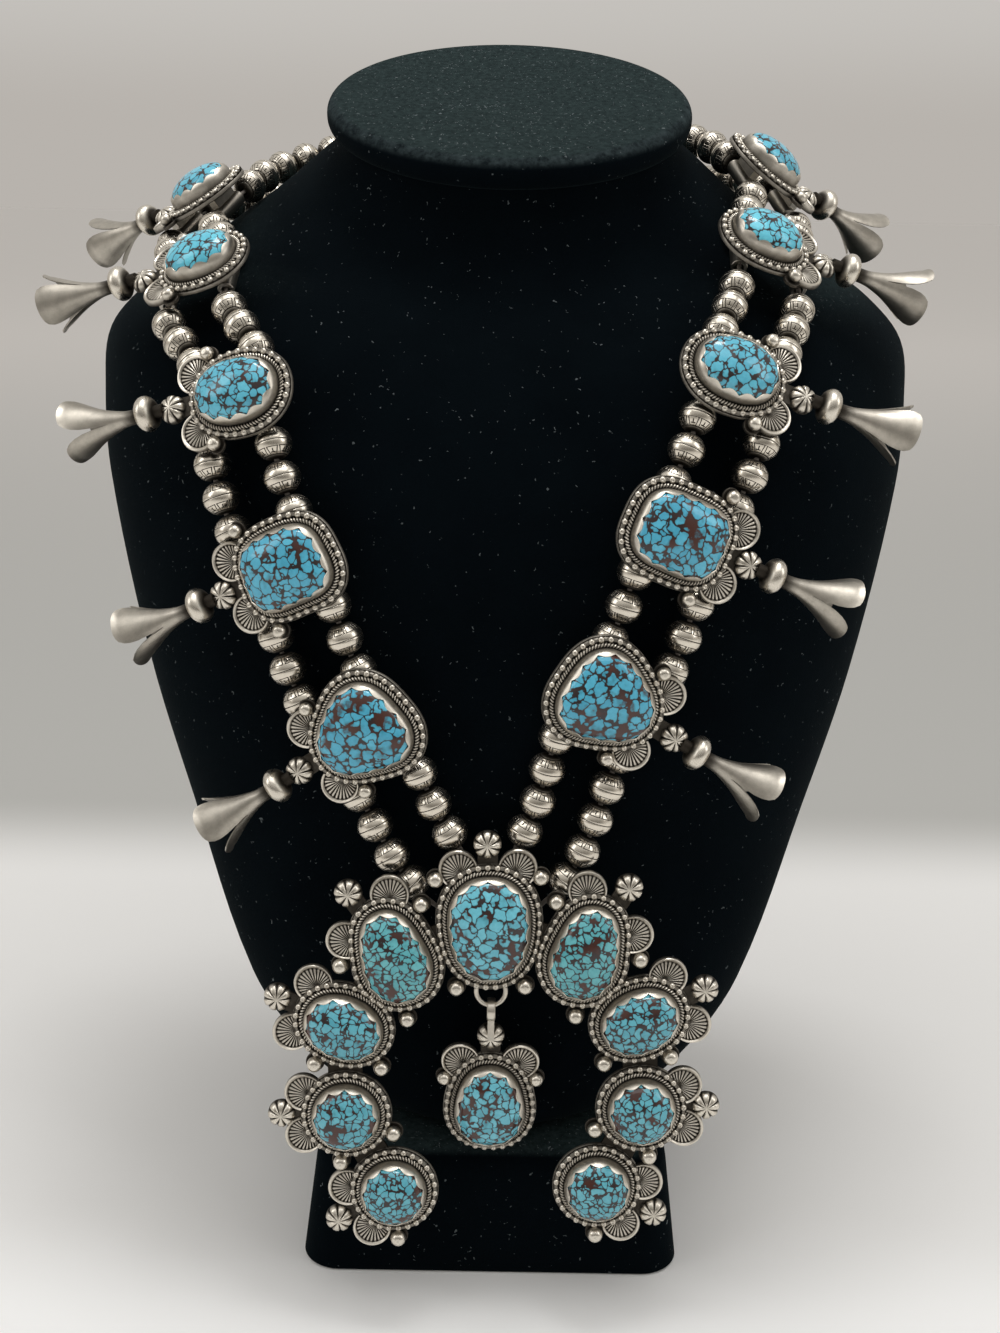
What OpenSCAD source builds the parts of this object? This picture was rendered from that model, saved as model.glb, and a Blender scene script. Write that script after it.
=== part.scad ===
// Squash blossom necklace on a neck bust.
// Two strands of silver beads carry ten stone-set blossoms and a crescent naja with a free drop.
// The origin is the middle of the foot's underside, the chest faces -Y and Z is up. Millimetres.

/* [Bust] */
// Height of the bust, from the table to the high back edge of its cap
bust_height = 292; // [288:1:296]
// Widest part of the shoulders
bust_width = 208; // [206:1:212]
// Depth of the shoulders, chest to back
bust_depth = 136; // [134:1:138]
// Width of the foot block at the table
foot_width = 94; // [90:1:98]
// Depth of the foot block at the table
foot_depth = 95; // [92:1:98]
// Diameter of the round cap
cap_width = 89.5; // [86:0.5:91]
// Thickness of the round cap
cap_thickness = 7.5; // [7:0.5:8.5]

/* [Strands] */
// Diameter of a bead across its thread
bead_width = 8.5; // [8:0.1:8.6]
// Length of a bead along its thread
bead_length = 7.5; // [7.2:0.1:7.6]
// Distance from one bead to the next on the same thread
bead_pitch = 7.95; // [7.9:0.05:8.2]
// Diameter of the hole through a bead
bead_hole = 2; // [1.9:0.1:2.4]
// Thickness of the threads
thread_width = 1.2; // [0.9:0.1:1.2]
// Distance between the two strands
strand_gap = 16; // [15.5:0.1:16.5]

/* [Settings] */
// Width of the wires round a stone, from the stone to the plate's edge
trim_width = 3.3; // [3.1:0.1:3.4]
// Height of a bezel above the back of its plate
bezel_height = 5; // [4.6:0.1:5.4]
// Height of a stone above the back of its plate
stone_height = 7.6; // [7.2:0.1:8]
// Radius of a stamped fan
fan_radius = 4.5; // [4.2:0.1:4.6]
// Radius of a rosette
rosette_radius = 3.2; // [3:0.1:3.4]
// Radius of a soldered ball
ball_radius = 1.6; // [1.4:0.1:1.8]
// Diameter of the flattened bead behind a blossom
rondelle_width = 8.2; // [7.6:0.1:8.6]
// Length of a blossom
blossom_length = 17; // [16:0.5:18]
// Radius of a blossom's mouth
blossom_radius = 6.6; // [6:0.1:6.8]

/* [Naja] */
// How far the crescent leans out from its top, in degrees
naja_lean = 8.75; // [8:0.25:9.5]
// How far the crescent hangs out of true, in degrees
naja_turn = 2.2; // [0:0.2:2.4]
// Radius of the ring that the drop hangs from
ring_radius = 3.4; // [3.2:0.1:3.6]

/* [Hidden] */
// Sections of the bust's body, low to high: level, half width, middle, front and back depth, tilt.
// Levels are shares of the height, half widths of the width, the other lengths of the depth.
LEVEL = 0;
HALF = 1;
MIDDLE = 2;
FRONT = 3;
BACK = 4;
TILT = 5;
body_form = [
    [0.110, 0.125, -0.037, 0.199, 0.176, 0],
    [0.123, 0.192, -0.033, 0.239, 0.206, 0],
    [0.151, 0.250, -0.022, 0.268, 0.228, 0],
    [0.212, 0.312, 0.007, 0.287, 0.243, 0],
    [0.363, 0.385, 0.088, 0.353, 0.243, 0],
    [0.486, 0.438, 0.147, 0.401, 0.265, 0],
    [0.640, 0.486, 0.235, 0.463, 0.294, 0],
    [0.712, 0.500, 0.324, 0.507, 0.294, 0],
    [0.757, 0.500, 0.397, 0.522, 0.279, 0],
    [0.791, 0.462, 0.441, 0.507, 0.265, 1],
    [0.825, 0.395, 0.463, 0.478, 0.257, 3],
    [0.856, 0.333, 0.449, 0.441, 0.250, 7],
    [0.880, 0.281, 0.404, 0.390, 0.250, 12],
    [0.901, 0.238, 0.346, 0.331, 0.257, 17],
    [0.9155, 0.207, 0.300, 0.279, 0.279, 20],
    [0.9290, 0.202, 0.284, 0.272, 0.272, 20],
];
cap_tilt = 20;
foot_height = body_form[0][LEVEL] * bust_height - 0.12;
cap_gap = 0.3;

// Stones: length along the blossom's line, width across it, squareness, lobe, the lobe's
// direction and a turn of the whole outline. A squareness of 2 is an ellipse, and a lobe
// draws the outline to a rounded triangle.
left_stones = [
    [17.5, 13.5, 2.2, 0, 0, 0],
    [17, 13.5, 2.2, 0, 0, 0],
    [19.2, 14, 2.2, 0, 0, 0],
    [20, 16.5, 3.2, 0.02, 90, 0],
    [21, 19.5, 2.1, 0.09, 112, 0],
];
right_stones = [
    [17.5, 13.5, 2.2, 0, 0, 0],
    [17, 13.5, 2.2, 0, 0, 0],
    [18.8, 13.8, 2.2, 0, 0, 0],
    [20.5, 16.5, 3.2, 0, 0, 0],
    [21, 19.5, 2.1, 0.09, 118, 0],
];
// Where the settings lie: turn round the bust, level share, turn of the blossom, extra lift
// and roll of the blossom's petals.
left_places = [
    [-77.5, 0.846, 46, 0.3, -33],
    [-46, 0.797, 28, 0, 2],
    [-32, 0.717, 17, 0, -28],
    [-26.5, 0.604, 26.5, 0, -27],
    [-18, 0.483, 36, 0, -39],
];
right_places = [
    [82, 0.8785, 60, 0.8, -47],
    [43.5, 0.825, 33, 0.3, -33],
    [27, 0.734, 23, 0.3, 44],
    [21, 0.634, 24.5, 0, -11],
    [13.5, 0.514, 32, 0.4, -17],
];
clasp_place = [180, 0.870, 90, 0, 0];
// Where the strands pass behind the neck, from the clasp on: turn, level share, extra lift.
inner_rests = [[[-150, 0.886, 0], [-112, 0.874, 0.2]], [[150, 0.887, 0], [120, 0.894, 0.4]]];
outer_rests = [[[-150, 0.855, 0], [-118, 0.846, 0.2]], [[150, 0.857, 0], [120, 0.866, 0.4]]];

// Naja settings: place across and up, direction, then the stone's row as above.
naja_seats = [
    [0, 36.5, 90, 23.5, 18, 2.25, 0.02, 60, 0],
    [21.8, 29.8, 56, 21.5, 14.6, 2.2, 0.05, 0, 17],
    [34.2, 13.4, 25, 17.8, 13.8, 2.1, 0, 0, 0],
    [34.4, -8.4, 1.5, 14.8, 14.8, 2, 0, 0, 0],
    [23.9, -27.6, -28, 14.4, 14.4, 2, 0, 0, 0],
];
// Balls between the naja's settings, on its right half.
naja_balls = [[12, 48], [15.4, 42.2], [34.4, 28], [41.2, 4.4], [36, -20],
    [23.2, -39.4], [7.9, 22.2], [19.4, 14.8], [25.8, 3.1], [23.5, -13.1]];
naja_ball_radius = 1.8;
naja_level = 0.36;
naja_stand = 10.6;
naja_rise = 45;
drop_stone_row = [20, 15.4, 2.2, 0.04, 0, 0];
drop_middle = -27.2;
drop_set = 2.55;
// Every second seat stands a little proud of its neighbours.
seat_step = 0.2;

// Finenesses of the meshed pieces.
body_sides = 56;
stone_sides = 26;
rim_sides = 40;
thread_sides = 6;
thread_step = 5;
$fn = 40;

bead_lift = 0.3 + bead_width / 2;
plate_drop = bead_width / 2 + 0.35;
plate_thick = 1;
wire_height = 2.1;
bezel_wall = 0.55;
rope_out = 1.6;
stone_gap = 0.1;
pocket_floor = 1.2;
fan_turn = 27;
ball_turn = 50;
rosette_reach = 4.4;
tab_width = 4.6;
neck_radius = 1.5;
axis_lift = 2;
tube_radius = 2;
tube_bore = 1.1;
tube_length = 10;
strand_shift = 4.2;
ring_wire = 0.55;
bail_radius = 2.7;
bail_hole = 1.9;
bail_width = 1.9;
play = 0.25;

velvet = [0.05, 0.07, 0.07];
silver = [0.62, 0.60, 0.56];
bright_silver = [0.70, 0.67, 0.60];
turquoise = [0.30, 0.68, 0.76];
cord_colour = [0.30, 0.29, 0.27];

function unit(v) = v / norm(v);
function sides(v) = v[0] * v[0] + v[1] * v[1] == 0 ? 0 : atan2(v[1], v[0]);

// The body's sections are joined by smooth curves through the table's rows.
function below(h) = max([for (i = [0:len(body_form) - 2])
    if (i == 0 || body_form[i][LEVEL] <= h) i]);
function slope(k, c) = let (a = max(k - 1, 0), b = min(k + 1, len(body_form) - 1))
    (body_form[b][c] - body_form[a][c]) / (body_form[b][LEVEL] - body_form[a][LEVEL]);
function form(h, c) = let (k = below(h), d = body_form[k + 1][LEVEL] - body_form[k][LEVEL],
        u = (h - body_form[k][LEVEL]) / d)
    (2 * pow(u, 3) - 3 * pow(u, 2) + 1) * body_form[k][c]
    + (pow(u, 3) - 2 * pow(u, 2) + u) * d * slope(k, c)
    + (3 * pow(u, 2) - 2 * pow(u, 3)) * body_form[k + 1][c]
    + (pow(u, 3) - pow(u, 2)) * d * slope(k + 1, c);
function skin(t, h) = let (dy = -form(h, abs(t) <= 90 ? FRONT : BACK) * bust_depth * cos(t))
    [form(h, HALF) * bust_width * sin(t), form(h, MIDDLE) * bust_depth + dy,
        h * bust_height + dy * tan(form(h, TILT))];
function along_skin(t, h) = unit(skin(t + 0.5, h) - skin(t - 0.5, h));
function off_skin(t, h) = unit(cross(skin(t + 0.5, h) - skin(t - 0.5, h),
    skin(t, h + 0.002) - skin(t, h - 0.002)));
function rest_point(r) = skin(r[0], r[1]) + (bead_lift + r[2]) * off_skin(r[0], r[1]);

// A spot is its origin, its three directions and its side. X runs out along the blossom,
// Y up the strands and Z away from the bust, so the left side is a mirror of the right.
function spot(p, side) = let (n = off_skin(p[0], p[1]), e = along_skin(p[0], p[1]),
        x = side * cos(p[2]) * e - sin(p[2]) * cross(n, e))
    [skin(p[0], p[1]) + p[3] * n, x, side * cross(n, x), n, side];
function on_spot(s, v) = s[0] + v[0] * s[1] + v[1] * s[2] + v[2] * s[3];

naja_up = [0, sin(naja_lean), cos(naja_lean)];
naja_out = [0, -cos(naja_lean), sin(naja_lean)];
naja_top = [0, skin(0, naja_level)[1] - naja_stand, naja_level * bust_height];
naja_x = [cos(naja_turn), 0, 0] + sin(naja_turn) * naja_up;
naja_y = cos(naja_turn) * naja_up - [sin(naja_turn), 0, 0];
naja_spot = [naja_top - naja_rise * naja_up, naja_x, naja_y, naja_out, 1];

// Places a piece on a spot.
module at(s) {
    translate(s[0])
        rotate([atan2(s[4] * s[2][2], s[3][2]), -asin(s[1][2]), atan2(s[1][1], s[1][0])])
            if (s[4] < 0) mirror([0, 1, 0]) children();
            else children();
}

// Outline of a stone at angle a, grown by d.
function reach(s, a) = let (b = a - s[5])
    pow(pow(abs(cos(b)) * 2 / s[0], s[2]) + pow(abs(sin(b)) * 2 / s[1], s[2]), -1 / s[2])
    * (1 + s[3] * cos(3 * (b - s[4])));
function edge(s, a) = reach(s, a) * [cos(a), sin(a)];
function rim(s, d, a) = let (t = unit(edge(s, a + 1) - edge(s, a - 1))) edge(s, a) + d * [t[1], -t[0]];
function rims(s, d, n) = [for (i = [0:n - 1]) rim(s, d, i * 360 / n)];

// Closed solid through rings of points, low to high.
module loft(rings, around) {
    n = len(rings[0]);
    last = len(rings) - 1;
    polyhedron(points = [for (r = rings) for (p = r) p],
        faces = concat(
            around ? [] : [[for (i = [0:n - 1]) i], [for (i = [n - 1:-1:0]) last * n + i]],
            [for (k = [0:last - (around ? 0 : 1)]) for (i = [0:n - 1]) for (h = [0, 1])
                let (j = (i + 1) % n, m = ((k + 1) % (last + 1)) * n)
                h == 0 ? [k * n + i, m + j, k * n + j] : [k * n + i, m + i, m + j]]),
        convexity = 6);
}

module body() {
    rows = len(body_form) - 1;
    levels = [for (k = [0:rows - 1]) for (u = [0, 0.5])
        body_form[k][LEVEL] * (1 - u) + body_form[k + 1][LEVEL] * u];
    color(velvet)
        loft([for (h = concat(levels, [body_form[rows][LEVEL]]))
            [for (i = [0:body_sides - 1]) skin(-180 + (i + 0.5) * 360 / body_sides, h)]], false);
}

// Rounded outline of a block, w wide at its foot, top_w at its top.
module slab(w, top_w, h, shift, r) {
    polygon([[-w / 2, -1], [w / 2, -1], [w / 2, 0],
        for (a = [0:15:90]) [top_w / 2 + shift - r + r * cos(a), h - r + r * sin(a)],
        for (a = [90:15:180]) [-top_w / 2 + shift + r + r * cos(a), h - r + r * sin(a)],
        [-w / 2, 0]]);
}

module foot() {
    corner = 9;
    color(velvet) intersection() {
        linear_extrude(foot_height) union() {
            square([foot_width - 2 * corner, foot_depth], center = true);
            square([foot_width, foot_depth - 2 * corner], center = true);
            for (x = [-1, 1], y = [-1, 1])
                translate([x * (foot_width / 2 - corner), y * (foot_depth / 2 - corner)])
                    circle(corner);
        }
        rotate([90, 0, 0]) linear_extrude(2 * foot_depth, center = true)
            slab(foot_width, foot_width - 8, foot_height, 0, 5);
        rotate([90, 0, 90]) linear_extrude(2 * foot_width, center = true)
            slab(foot_depth, foot_depth - 6, foot_height, 1, 5);
    }
}

module cap() {
    r = cap_width / 2;
    round = 3.4;
    top = body_form[len(body_form) - 1];
    color(velvet)
        translate([0, top[MIDDLE] * bust_depth, top[LEVEL] * bust_height])
            rotate([cap_tilt, 0, 0]) translate([0, 0, cap_gap])
                rotate_extrude($fn = 72)
                    polygon([[0, 0],
                        for (a = [-90:15:0]) [r - round + round * cos(a), round + round * sin(a)],
                        for (a = [0:15:90])
                            [r - round + round * cos(a), cap_thickness - round + round * sin(a)],
                        [0, cap_thickness]]);
}

// A plate with bead wire, rope wire and bezel round the pocket of a stone.
module seat(s) {
    difference() {
        union() {
            linear_extrude(wire_height) polygon(rims(s, trim_width, rim_sides));
            linear_extrude(bezel_height) polygon(rims(s, bezel_wall, rim_sides));
        }
        translate([0, 0, pocket_floor]) linear_extrude(bezel_height) polygon(rims(s, 0, rim_sides));
        translate([0, 0, wire_height - 0.5]) linear_extrude(1) difference() {
            polygon(rims(s, rope_out, rim_sides));
            polygon(rims(s, bezel_wall, rim_sides));
        }
    }
}

module ball(p, r) {
    translate([p[0], p[1], 0]) {
        cylinder(h = plate_thick, r = r + 0.6);
        translate([0, 0, plate_thick + r * 0.6]) sphere(r);
    }
}

// The rosette and fans that crown a seat, all soldered to its outward end.
module crown(s, turn) {
    far = rim(s, trim_width, 0)[0] + rosette_reach;
    for (a = [-turn, turn]) {
        p = rim(s, trim_width + 0.5, a);
        translate([p[0], p[1], 0]) cylinder(h = 1.5, r = fan_radius);
    }
    translate([far - rosette_reach - 1, -tab_width / 2, 0])
        cube([rosette_reach + 1, tab_width, plate_thick]);
    translate([far, 0, 0]) {
        cylinder(h = 1.6, r = rosette_radius);
        translate([0, 0, 1.6]) cylinder(h = 1, r1 = rosette_radius, r2 = rosette_radius * 0.5);
    }
}

// Half outline of a wall, given as rows of place along the axis and outer radius.
function wall(rows, t) = concat([for (r = rows) [r[1], r[0]]],
    [for (i = [len(rows) - 1:-1:0]) [rows[i][1] - t, rows[i][0]]]);

// Trumpet with three petals, its mouth toward +Z.
module blossom() {
    l = blossom_length;
    r = blossom_radius;
    bell = [[0.20 * l, 0.27 * r], [0.35 * l, 0.36 * r], [0.50 * l, 0.48 * r], [0.65 * l, 0.64 * r],
        [0.80 * l, 0.82 * r], [0.92 * l, 0.95 * r], [l, r]];
    cut = [[0.42, 0], [0.60, 0.07], [0.80, 0.17], [0.92, 0.31], [0.98, 0.48], [1.05, 0.70]];
    difference() {
        rotate_extrude() union() {
            polygon([[0, -1], [neck_radius, -1], [neck_radius, 0], [0.27 * r, 0.20 * l], [0, 0.20 * l]]);
            polygon(wall(bell, 0.8));
        }
        for (a = [0, 120, 240]) rotate([0, 0, a]) translate([0.15 * r, 0, 0]) rotate([90, 0, 90])
            linear_extrude(2 * r) polygon(concat(
                [for (c = cut) [c[1] * r, c[0] * l]],
                [for (i = [len(cut) - 1:-1:1]) [-cut[i][1] * r, cut[i][0] * l]]));
    }
}

module rondelle() {
    rotate_extrude() polygon([for (a = [-90:15:90])
        [rondelle_width / 2 * pow(abs(cos(a)), 0.8), 2.3 * sin(a)]]);
}

// Two tubes that the strands run through, on webs from the plate's back.
module strand_tubes(xs, length, web) {
    for (x = xs) {
        translate([x, 0, -plate_drop]) rotate([90, 0, 0])
            cylinder(h = length, r = tube_radius, center = true);
        translate([x - 1.1, -web / 2, -plate_drop + tube_bore + 0.3])
            cube([2.2, web, plate_drop - tube_bore]);
    }
}
module strand_bores(xs, length) {
    for (x = xs) translate([x, 0, -plate_drop]) rotate([90, 0, 0])
        cylinder(h = length + 1, r = tube_bore, center = true);
}

function strand_x(s) = s * strand_gap / 2 + strand_shift;

module setting(s, place, side) {
    far = rim(s, trim_width, 0)[0] + rosette_reach + rosette_radius;
    color(silver) at(spot(place, side)) translate([0, 0, bead_lift + plate_drop]) difference() {
        union() {
            seat(s);
            crown(s, fan_turn);
            for (a = [-ball_turn, ball_turn]) ball(rim(s, trim_width + 1.5, a), ball_radius);
            translate([far - 1.5, 0, axis_lift]) rotate([0, 90, 0]) {
                cylinder(h = 3, r = neck_radius);
                translate([0, 0, 4.4]) rondelle();
                translate([0, 0, 6.5]) rotate([0, 0, 180 - place[4]]) blossom();
            }
            strand_tubes([strand_x(-1), strand_x(1)], tube_length, tube_length - 2);
        }
        strand_bores([strand_x(-1), strand_x(1)], tube_length);
    }
}

// Domed stone in its seat's frame.
module stone(s) {
    base = pocket_floor + stone_gap;
    low = bezel_height - 1.6;
    dome = concat([[base, 1]], [for (r = [1, 0.97, 0.89, 0.75, 0.55, 0.32, 0.1])
        [low + (stone_height - low) * pow(1 - r * r, 1 / 2.4), r]]);
    color(turquoise) loft([for (d = dome)
        [for (p = rims(s, -stone_gap, stone_sides)) [p[0] * d[1], p[1] * d[1], d[0]]]], false);
}

module setting_stone(s, place, side) {
    at(spot(place, side)) translate([0, 0, bead_lift + plate_drop]) stone(s);
}

function seat_row(k) = [for (i = [3:8]) naja_seats[k][i]];
module naja_seat(k, side) {
    at(naja_spot) if (side < 0) mirror([1, 0, 0]) seat_turn(k) children();
    else seat_turn(k) children();
}
module seat_turn(k) {
    translate([naja_seats[k][0], naja_seats[k][1], k % 2 * seat_step])
        rotate([0, 0, naja_seats[k][2]]) children();
}

naja_tubes = [46.5, 36.5];
tube_reach = [3.5, 5];
naja_entry = [[6.5, 53.5, -0.6, -0.8], [15, 42.2, -0.72, -0.69]];

// The crescent: nine seats on a band of bars, with the ring and the strand tubes at its top.
module naja_frame() {
    ring_y = naja_seats[0][1] - rim(seat_row(0), trim_width, 0)[0] - 1.3;
    color(silver) at(naja_spot) difference() {
        union() {
            for (m = [0, 1]) mirror([m, 0, 0]) {
                for (k = [0:4]) if (k > 0 || m == 0) seat_turn(k) {
                    seat(seat_row(k));
                    crown(seat_row(k), k == 4 ? 32 : k == 0 ? 25 : 28);
                }
                for (k = [0:3]) {
                    a = naja_seats[k];
                    b = naja_seats[k + 1];
                    translate([a[0], a[1], 0]) rotate([0, 0, atan2(b[1] - a[1], b[0] - a[0])])
                        translate([0, -4, 0]) cube([norm([b[0] - a[0], b[1] - a[1]]), 8, plate_thick]);
                }
                for (p = naja_balls) ball(p, naja_ball_radius);
            }
            translate([0, ring_y, ring_wire - 0.9])
                rotate_extrude() translate([ring_radius, 0]) circle(ring_wire, $fn = 24);
            for (k = [0, 1]) translate([0, naja_tubes[k], 0]) rotate([0, 0, 90])
                strand_tubes([0], 2 * tube_reach[k], 2 * tube_reach[k] - 1);
        }
        for (k = [0, 1]) translate([0, naja_tubes[k], 0]) rotate([0, 0, 90])
            strand_bores([0], 2 * tube_reach[k]);
    }
}

// The drop hangs from the lowest point of the naja's ring, its X toward the ring.
ring_low = naja_seats[0][1] - rim(seat_row(0), trim_width, 0)[0] - 1.3 - ring_radius;
pivot = on_spot(naja_spot, [0, ring_low, ring_wire - 0.9]);
bail_low = bail_hole - ring_wire - play;
module at_drop() {
    translate(pivot + [0, drop_set, 0]) rotate([90, 0, 0]) rotate([0, 0, 90]) children();
}

module drop_setting() {
    s = drop_stone_row;
    color(silver) at_drop() {
        translate([drop_middle, 0, 0]) {
            seat(s);
            crown(s, fan_turn);
            for (a = [-ball_turn, ball_turn]) ball(rim(s, trim_width + 1.5, a), ball_radius);
        }
        translate([-bail_low, 0, drop_set]) rotate([90, 0, 0]) difference() {
            cylinder(h = bail_width, r = bail_radius, center = true);
            cylinder(h = bail_width + 1, r = bail_hole, center = true);
        }
        translate([drop_middle + rim(s, trim_width, 0)[0] + rosette_reach, -bail_width / 2, 0])
            cube([-drop_middle - rim(s, trim_width, 0)[0] - rosette_reach - bail_low
                - bail_hole - 0.3, bail_width, drop_set + 0.8]);
    }
}

// One side of a strand as knots of place and heading, from the clasp down to the naja.
function rest_knots(p) = [for (i = [1:len(p) - 2]) [p[i], unit(p[i + 1] - p[i - 1])]];
function side_knots(side, s) = let (
        clasp_at = spot(clasp_place, 1), out = -side * tube_length / 2,
        start = on_spot(clasp_at, [s * strand_gap / 2 * 0.75, out, bead_lift]),
        places = side < 0 ? left_places : right_places,
        spots = [for (p = places) spot(p, side)],
        x = strand_x(s),
        upper = [for (f = spots) on_spot(f, [x, tube_length / 2, bead_lift])],
        lower = [for (f = spots) on_spot(f, [x, -tube_length / 2, bead_lift])],
        rests = (s < 0 ? inner_rests : outer_rests)[side < 0 ? 0 : 1],
        k = s < 0 ? 0 : 1, e = naja_entry[k],
        naja_in = on_spot(naja_spot, [side * e[0], e[1], -plate_drop]),
        tube_in = on_spot(naja_spot, [side * tube_reach[k], naja_tubes[k], -plate_drop]))
    concat([[start, -side * clasp_at[2]]],
        rest_knots(concat([start], [for (r = rests) rest_point(r)], [upper[0]])),
        [for (i = [0:4]) for (q = [[upper[i], -spots[i][2]], [lower[i], -spots[i][2]]]) q],
        [[naja_in, unit(side * e[2] * naja_x + e[3] * naja_y)], [tube_in, -side * naja_x]]);

// Points of the smooth curve from one knot to the next, without the last.
function bend(a, b, n) = let (l = norm(b[0] - a[0])) [for (i = [0:n - 1]) let (u = i / n)
    (2 * pow(u, 3) - 3 * pow(u, 2) + 1) * a[0] + (pow(u, 3) - 2 * pow(u, 2) + u) * l * a[1]
    + (3 * pow(u, 2) - 2 * pow(u, 3)) * b[0] + (pow(u, 3) - pow(u, 2)) * l * b[1]];

// Beads along a run of knots, spaced about its middle or, on the last run, close to the naja.
function run_points(knots, a, b) = concat(
    [for (k = [a:b - 1]) for (p = bend(knots[k], knots[k + 1], 12)) p], [knots[b][0]]);
function adds(v, i = 0, t = 0) = i == len(v) ? [t] : concat([t], adds(v, i + 1, t + v[i]));
function table(x, p, c) = [for (i = [0:len(p) - 1]) [x[i], p[i][c]]];
function beads_on(p, last_run) = let (
        x = adds([for (i = [0:len(p) - 2]) norm(p[i + 1] - p[i])]),
        total = x[len(x) - 1], n = floor((total - 1.2) / bead_pitch),
        first = last_run ? total - (n - 0.5) * bead_pitch - 0.3 : (total - (n - 1) * bead_pitch) / 2,
        tx = table(x, p, 0), ty = table(x, p, 1), tz = table(x, p, 2), h = bead_length * 0.45)
    [for (i = [0:n - 1]) let (c = first + i * bead_pitch,
            a = [lookup(c - h, tx), lookup(c - h, ty), lookup(c - h, tz)],
            b = [lookup(c + h, tx), lookup(c + h, ty), lookup(c + h, tz)])
        [(a + b) / 2, unit(b - a)]];

module bead() {
    r = bead_width / 2;
    h = bead_hole / 2;
    end = acos(h / r);
    rotate_extrude($fn = 32) polygon([
        for (k = [-6:6]) [r * cos(k * end / 6), bead_length / 2 * sin(k * end / 6) / sin(end)]]);
}

module beads(side, s) {
    knots = side_knots(side, s);
    runs = concat([[0, 3]], [for (i = [0:4]) [4 + 2 * i, 5 + 2 * i]]);
    color(bright_silver) for (r = runs) for (b = beads_on(run_points(knots, r[0], r[1]), r[0] == 12))
        translate(b[0]) rotate([0, acos(b[1][2]), sides(b[1])]) bead();
}

// A thread is a closed tube through both sides' knots.
function loop_knots(s) = let (l = side_knots(-1, s), r = side_knots(1, s))
    concat(l, [for (i = [len(r) - 1:-1:0]) [r[i][0], -r[i][1]]]);
function loop_points(s) = let (q = loop_knots(s), n = len(q))
    [for (k = [0:n - 1]) let (a = q[k], b = q[(k + 1) % n])
        for (p = bend(a, b, max(2, ceil(norm(b[0] - a[0]) / thread_step)))) p];
module thread(s) {
    p = loop_points(s);
    n = len(p);
    color(cord_colour) loft([for (i = [0:n - 1]) let (
            t = unit(p[(i + 1) % n] - p[(i + n - 1) % n]),
            out = [p[i][0], p[i][1] - 0.35 * bust_depth, 0],
            e = unit(cross(t, out)), f = cross(t, e))
        [for (a = [0:360 / thread_sides:359])
            p[i] + thread_width / 2 * (cos(a) * e + sin(a) * f)]], true);
}

module clasp() {
    xs = [-strand_gap / 2 * 0.75, strand_gap / 2 * 0.75];
    color(silver) at(spot(clasp_place, 1)) translate([0, 0, bead_lift]) difference() {
        union() {
            for (x = xs) translate([x, 0, 0]) rotate([90, 0, 0])
                cylinder(h = tube_length, r = tube_radius, center = true);
            translate([-strand_gap / 2 * 0.75 - 2, -4, 1.3])
                cube([strand_gap * 0.75 + 4, 8, 1.2]);
        }
        for (x = xs) translate([x, 0, 0]) rotate([90, 0, 0])
            cylinder(h = tube_length + 1, r = tube_bore, center = true);
    }
}

body();  // bust_body
foot();  // bust_foot
cap();  // bust_cap
setting(left_stones[0], left_places[0], -1);  // setting_left_1
setting(left_stones[1], left_places[1], -1);  // setting_left_2
setting(left_stones[2], left_places[2], -1);  // setting_left_3
setting(left_stones[3], left_places[3], -1);  // setting_left_4
setting(left_stones[4], left_places[4], -1);  // setting_left_5
setting(right_stones[0], right_places[0], 1);  // setting_right_1
setting(right_stones[1], right_places[1], 1);  // setting_right_2
setting(right_stones[2], right_places[2], 1);  // setting_right_3
setting(right_stones[3], right_places[3], 1);  // setting_right_4
setting(right_stones[4], right_places[4], 1);  // setting_right_5
setting_stone(left_stones[0], left_places[0], -1);  // stone_left_1
setting_stone(left_stones[1], left_places[1], -1);  // stone_left_2
setting_stone(left_stones[2], left_places[2], -1);  // stone_left_3
setting_stone(left_stones[3], left_places[3], -1);  // stone_left_4
setting_stone(left_stones[4], left_places[4], -1);  // stone_left_5
setting_stone(right_stones[0], right_places[0], 1);  // stone_right_1
setting_stone(right_stones[1], right_places[1], 1);  // stone_right_2
setting_stone(right_stones[2], right_places[2], 1);  // stone_right_3
setting_stone(right_stones[3], right_places[3], 1);  // stone_right_4
setting_stone(right_stones[4], right_places[4], 1);  // stone_right_5
naja_frame();
naja_seat(0, 1) stone(seat_row(0));  // naja_stone_top
naja_seat(1, -1) stone(seat_row(1));  // naja_stone_left_1
naja_seat(2, -1) stone(seat_row(2));  // naja_stone_left_2
naja_seat(3, -1) stone(seat_row(3));  // naja_stone_left_3
naja_seat(4, -1) stone(seat_row(4));  // naja_stone_left_4
naja_seat(1, 1) stone(seat_row(1));  // naja_stone_right_1
naja_seat(2, 1) stone(seat_row(2));  // naja_stone_right_2
naja_seat(3, 1) stone(seat_row(3));  // naja_stone_right_3
naja_seat(4, 1) stone(seat_row(4));  // naja_stone_right_4
drop_setting();
at_drop() translate([drop_middle, 0, 0]) stone(drop_stone_row);  // drop_stone
beads(-1, -1);  // beads_inner_left
beads(1, -1);  // beads_inner_right
beads(-1, 1);  // beads_outer_left
beads(1, 1);  // beads_outer_right
thread(-1);  // thread_inner
thread(1);  // thread_outer
clasp();
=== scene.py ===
# Looks of a squash blossom necklace on a neck bust.
# Lengths are in millimetres in the shape functions and turn into metres as each piece is made.
import math

import bpy
import numpy as np
from mathutils import Matrix, Vector


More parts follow.
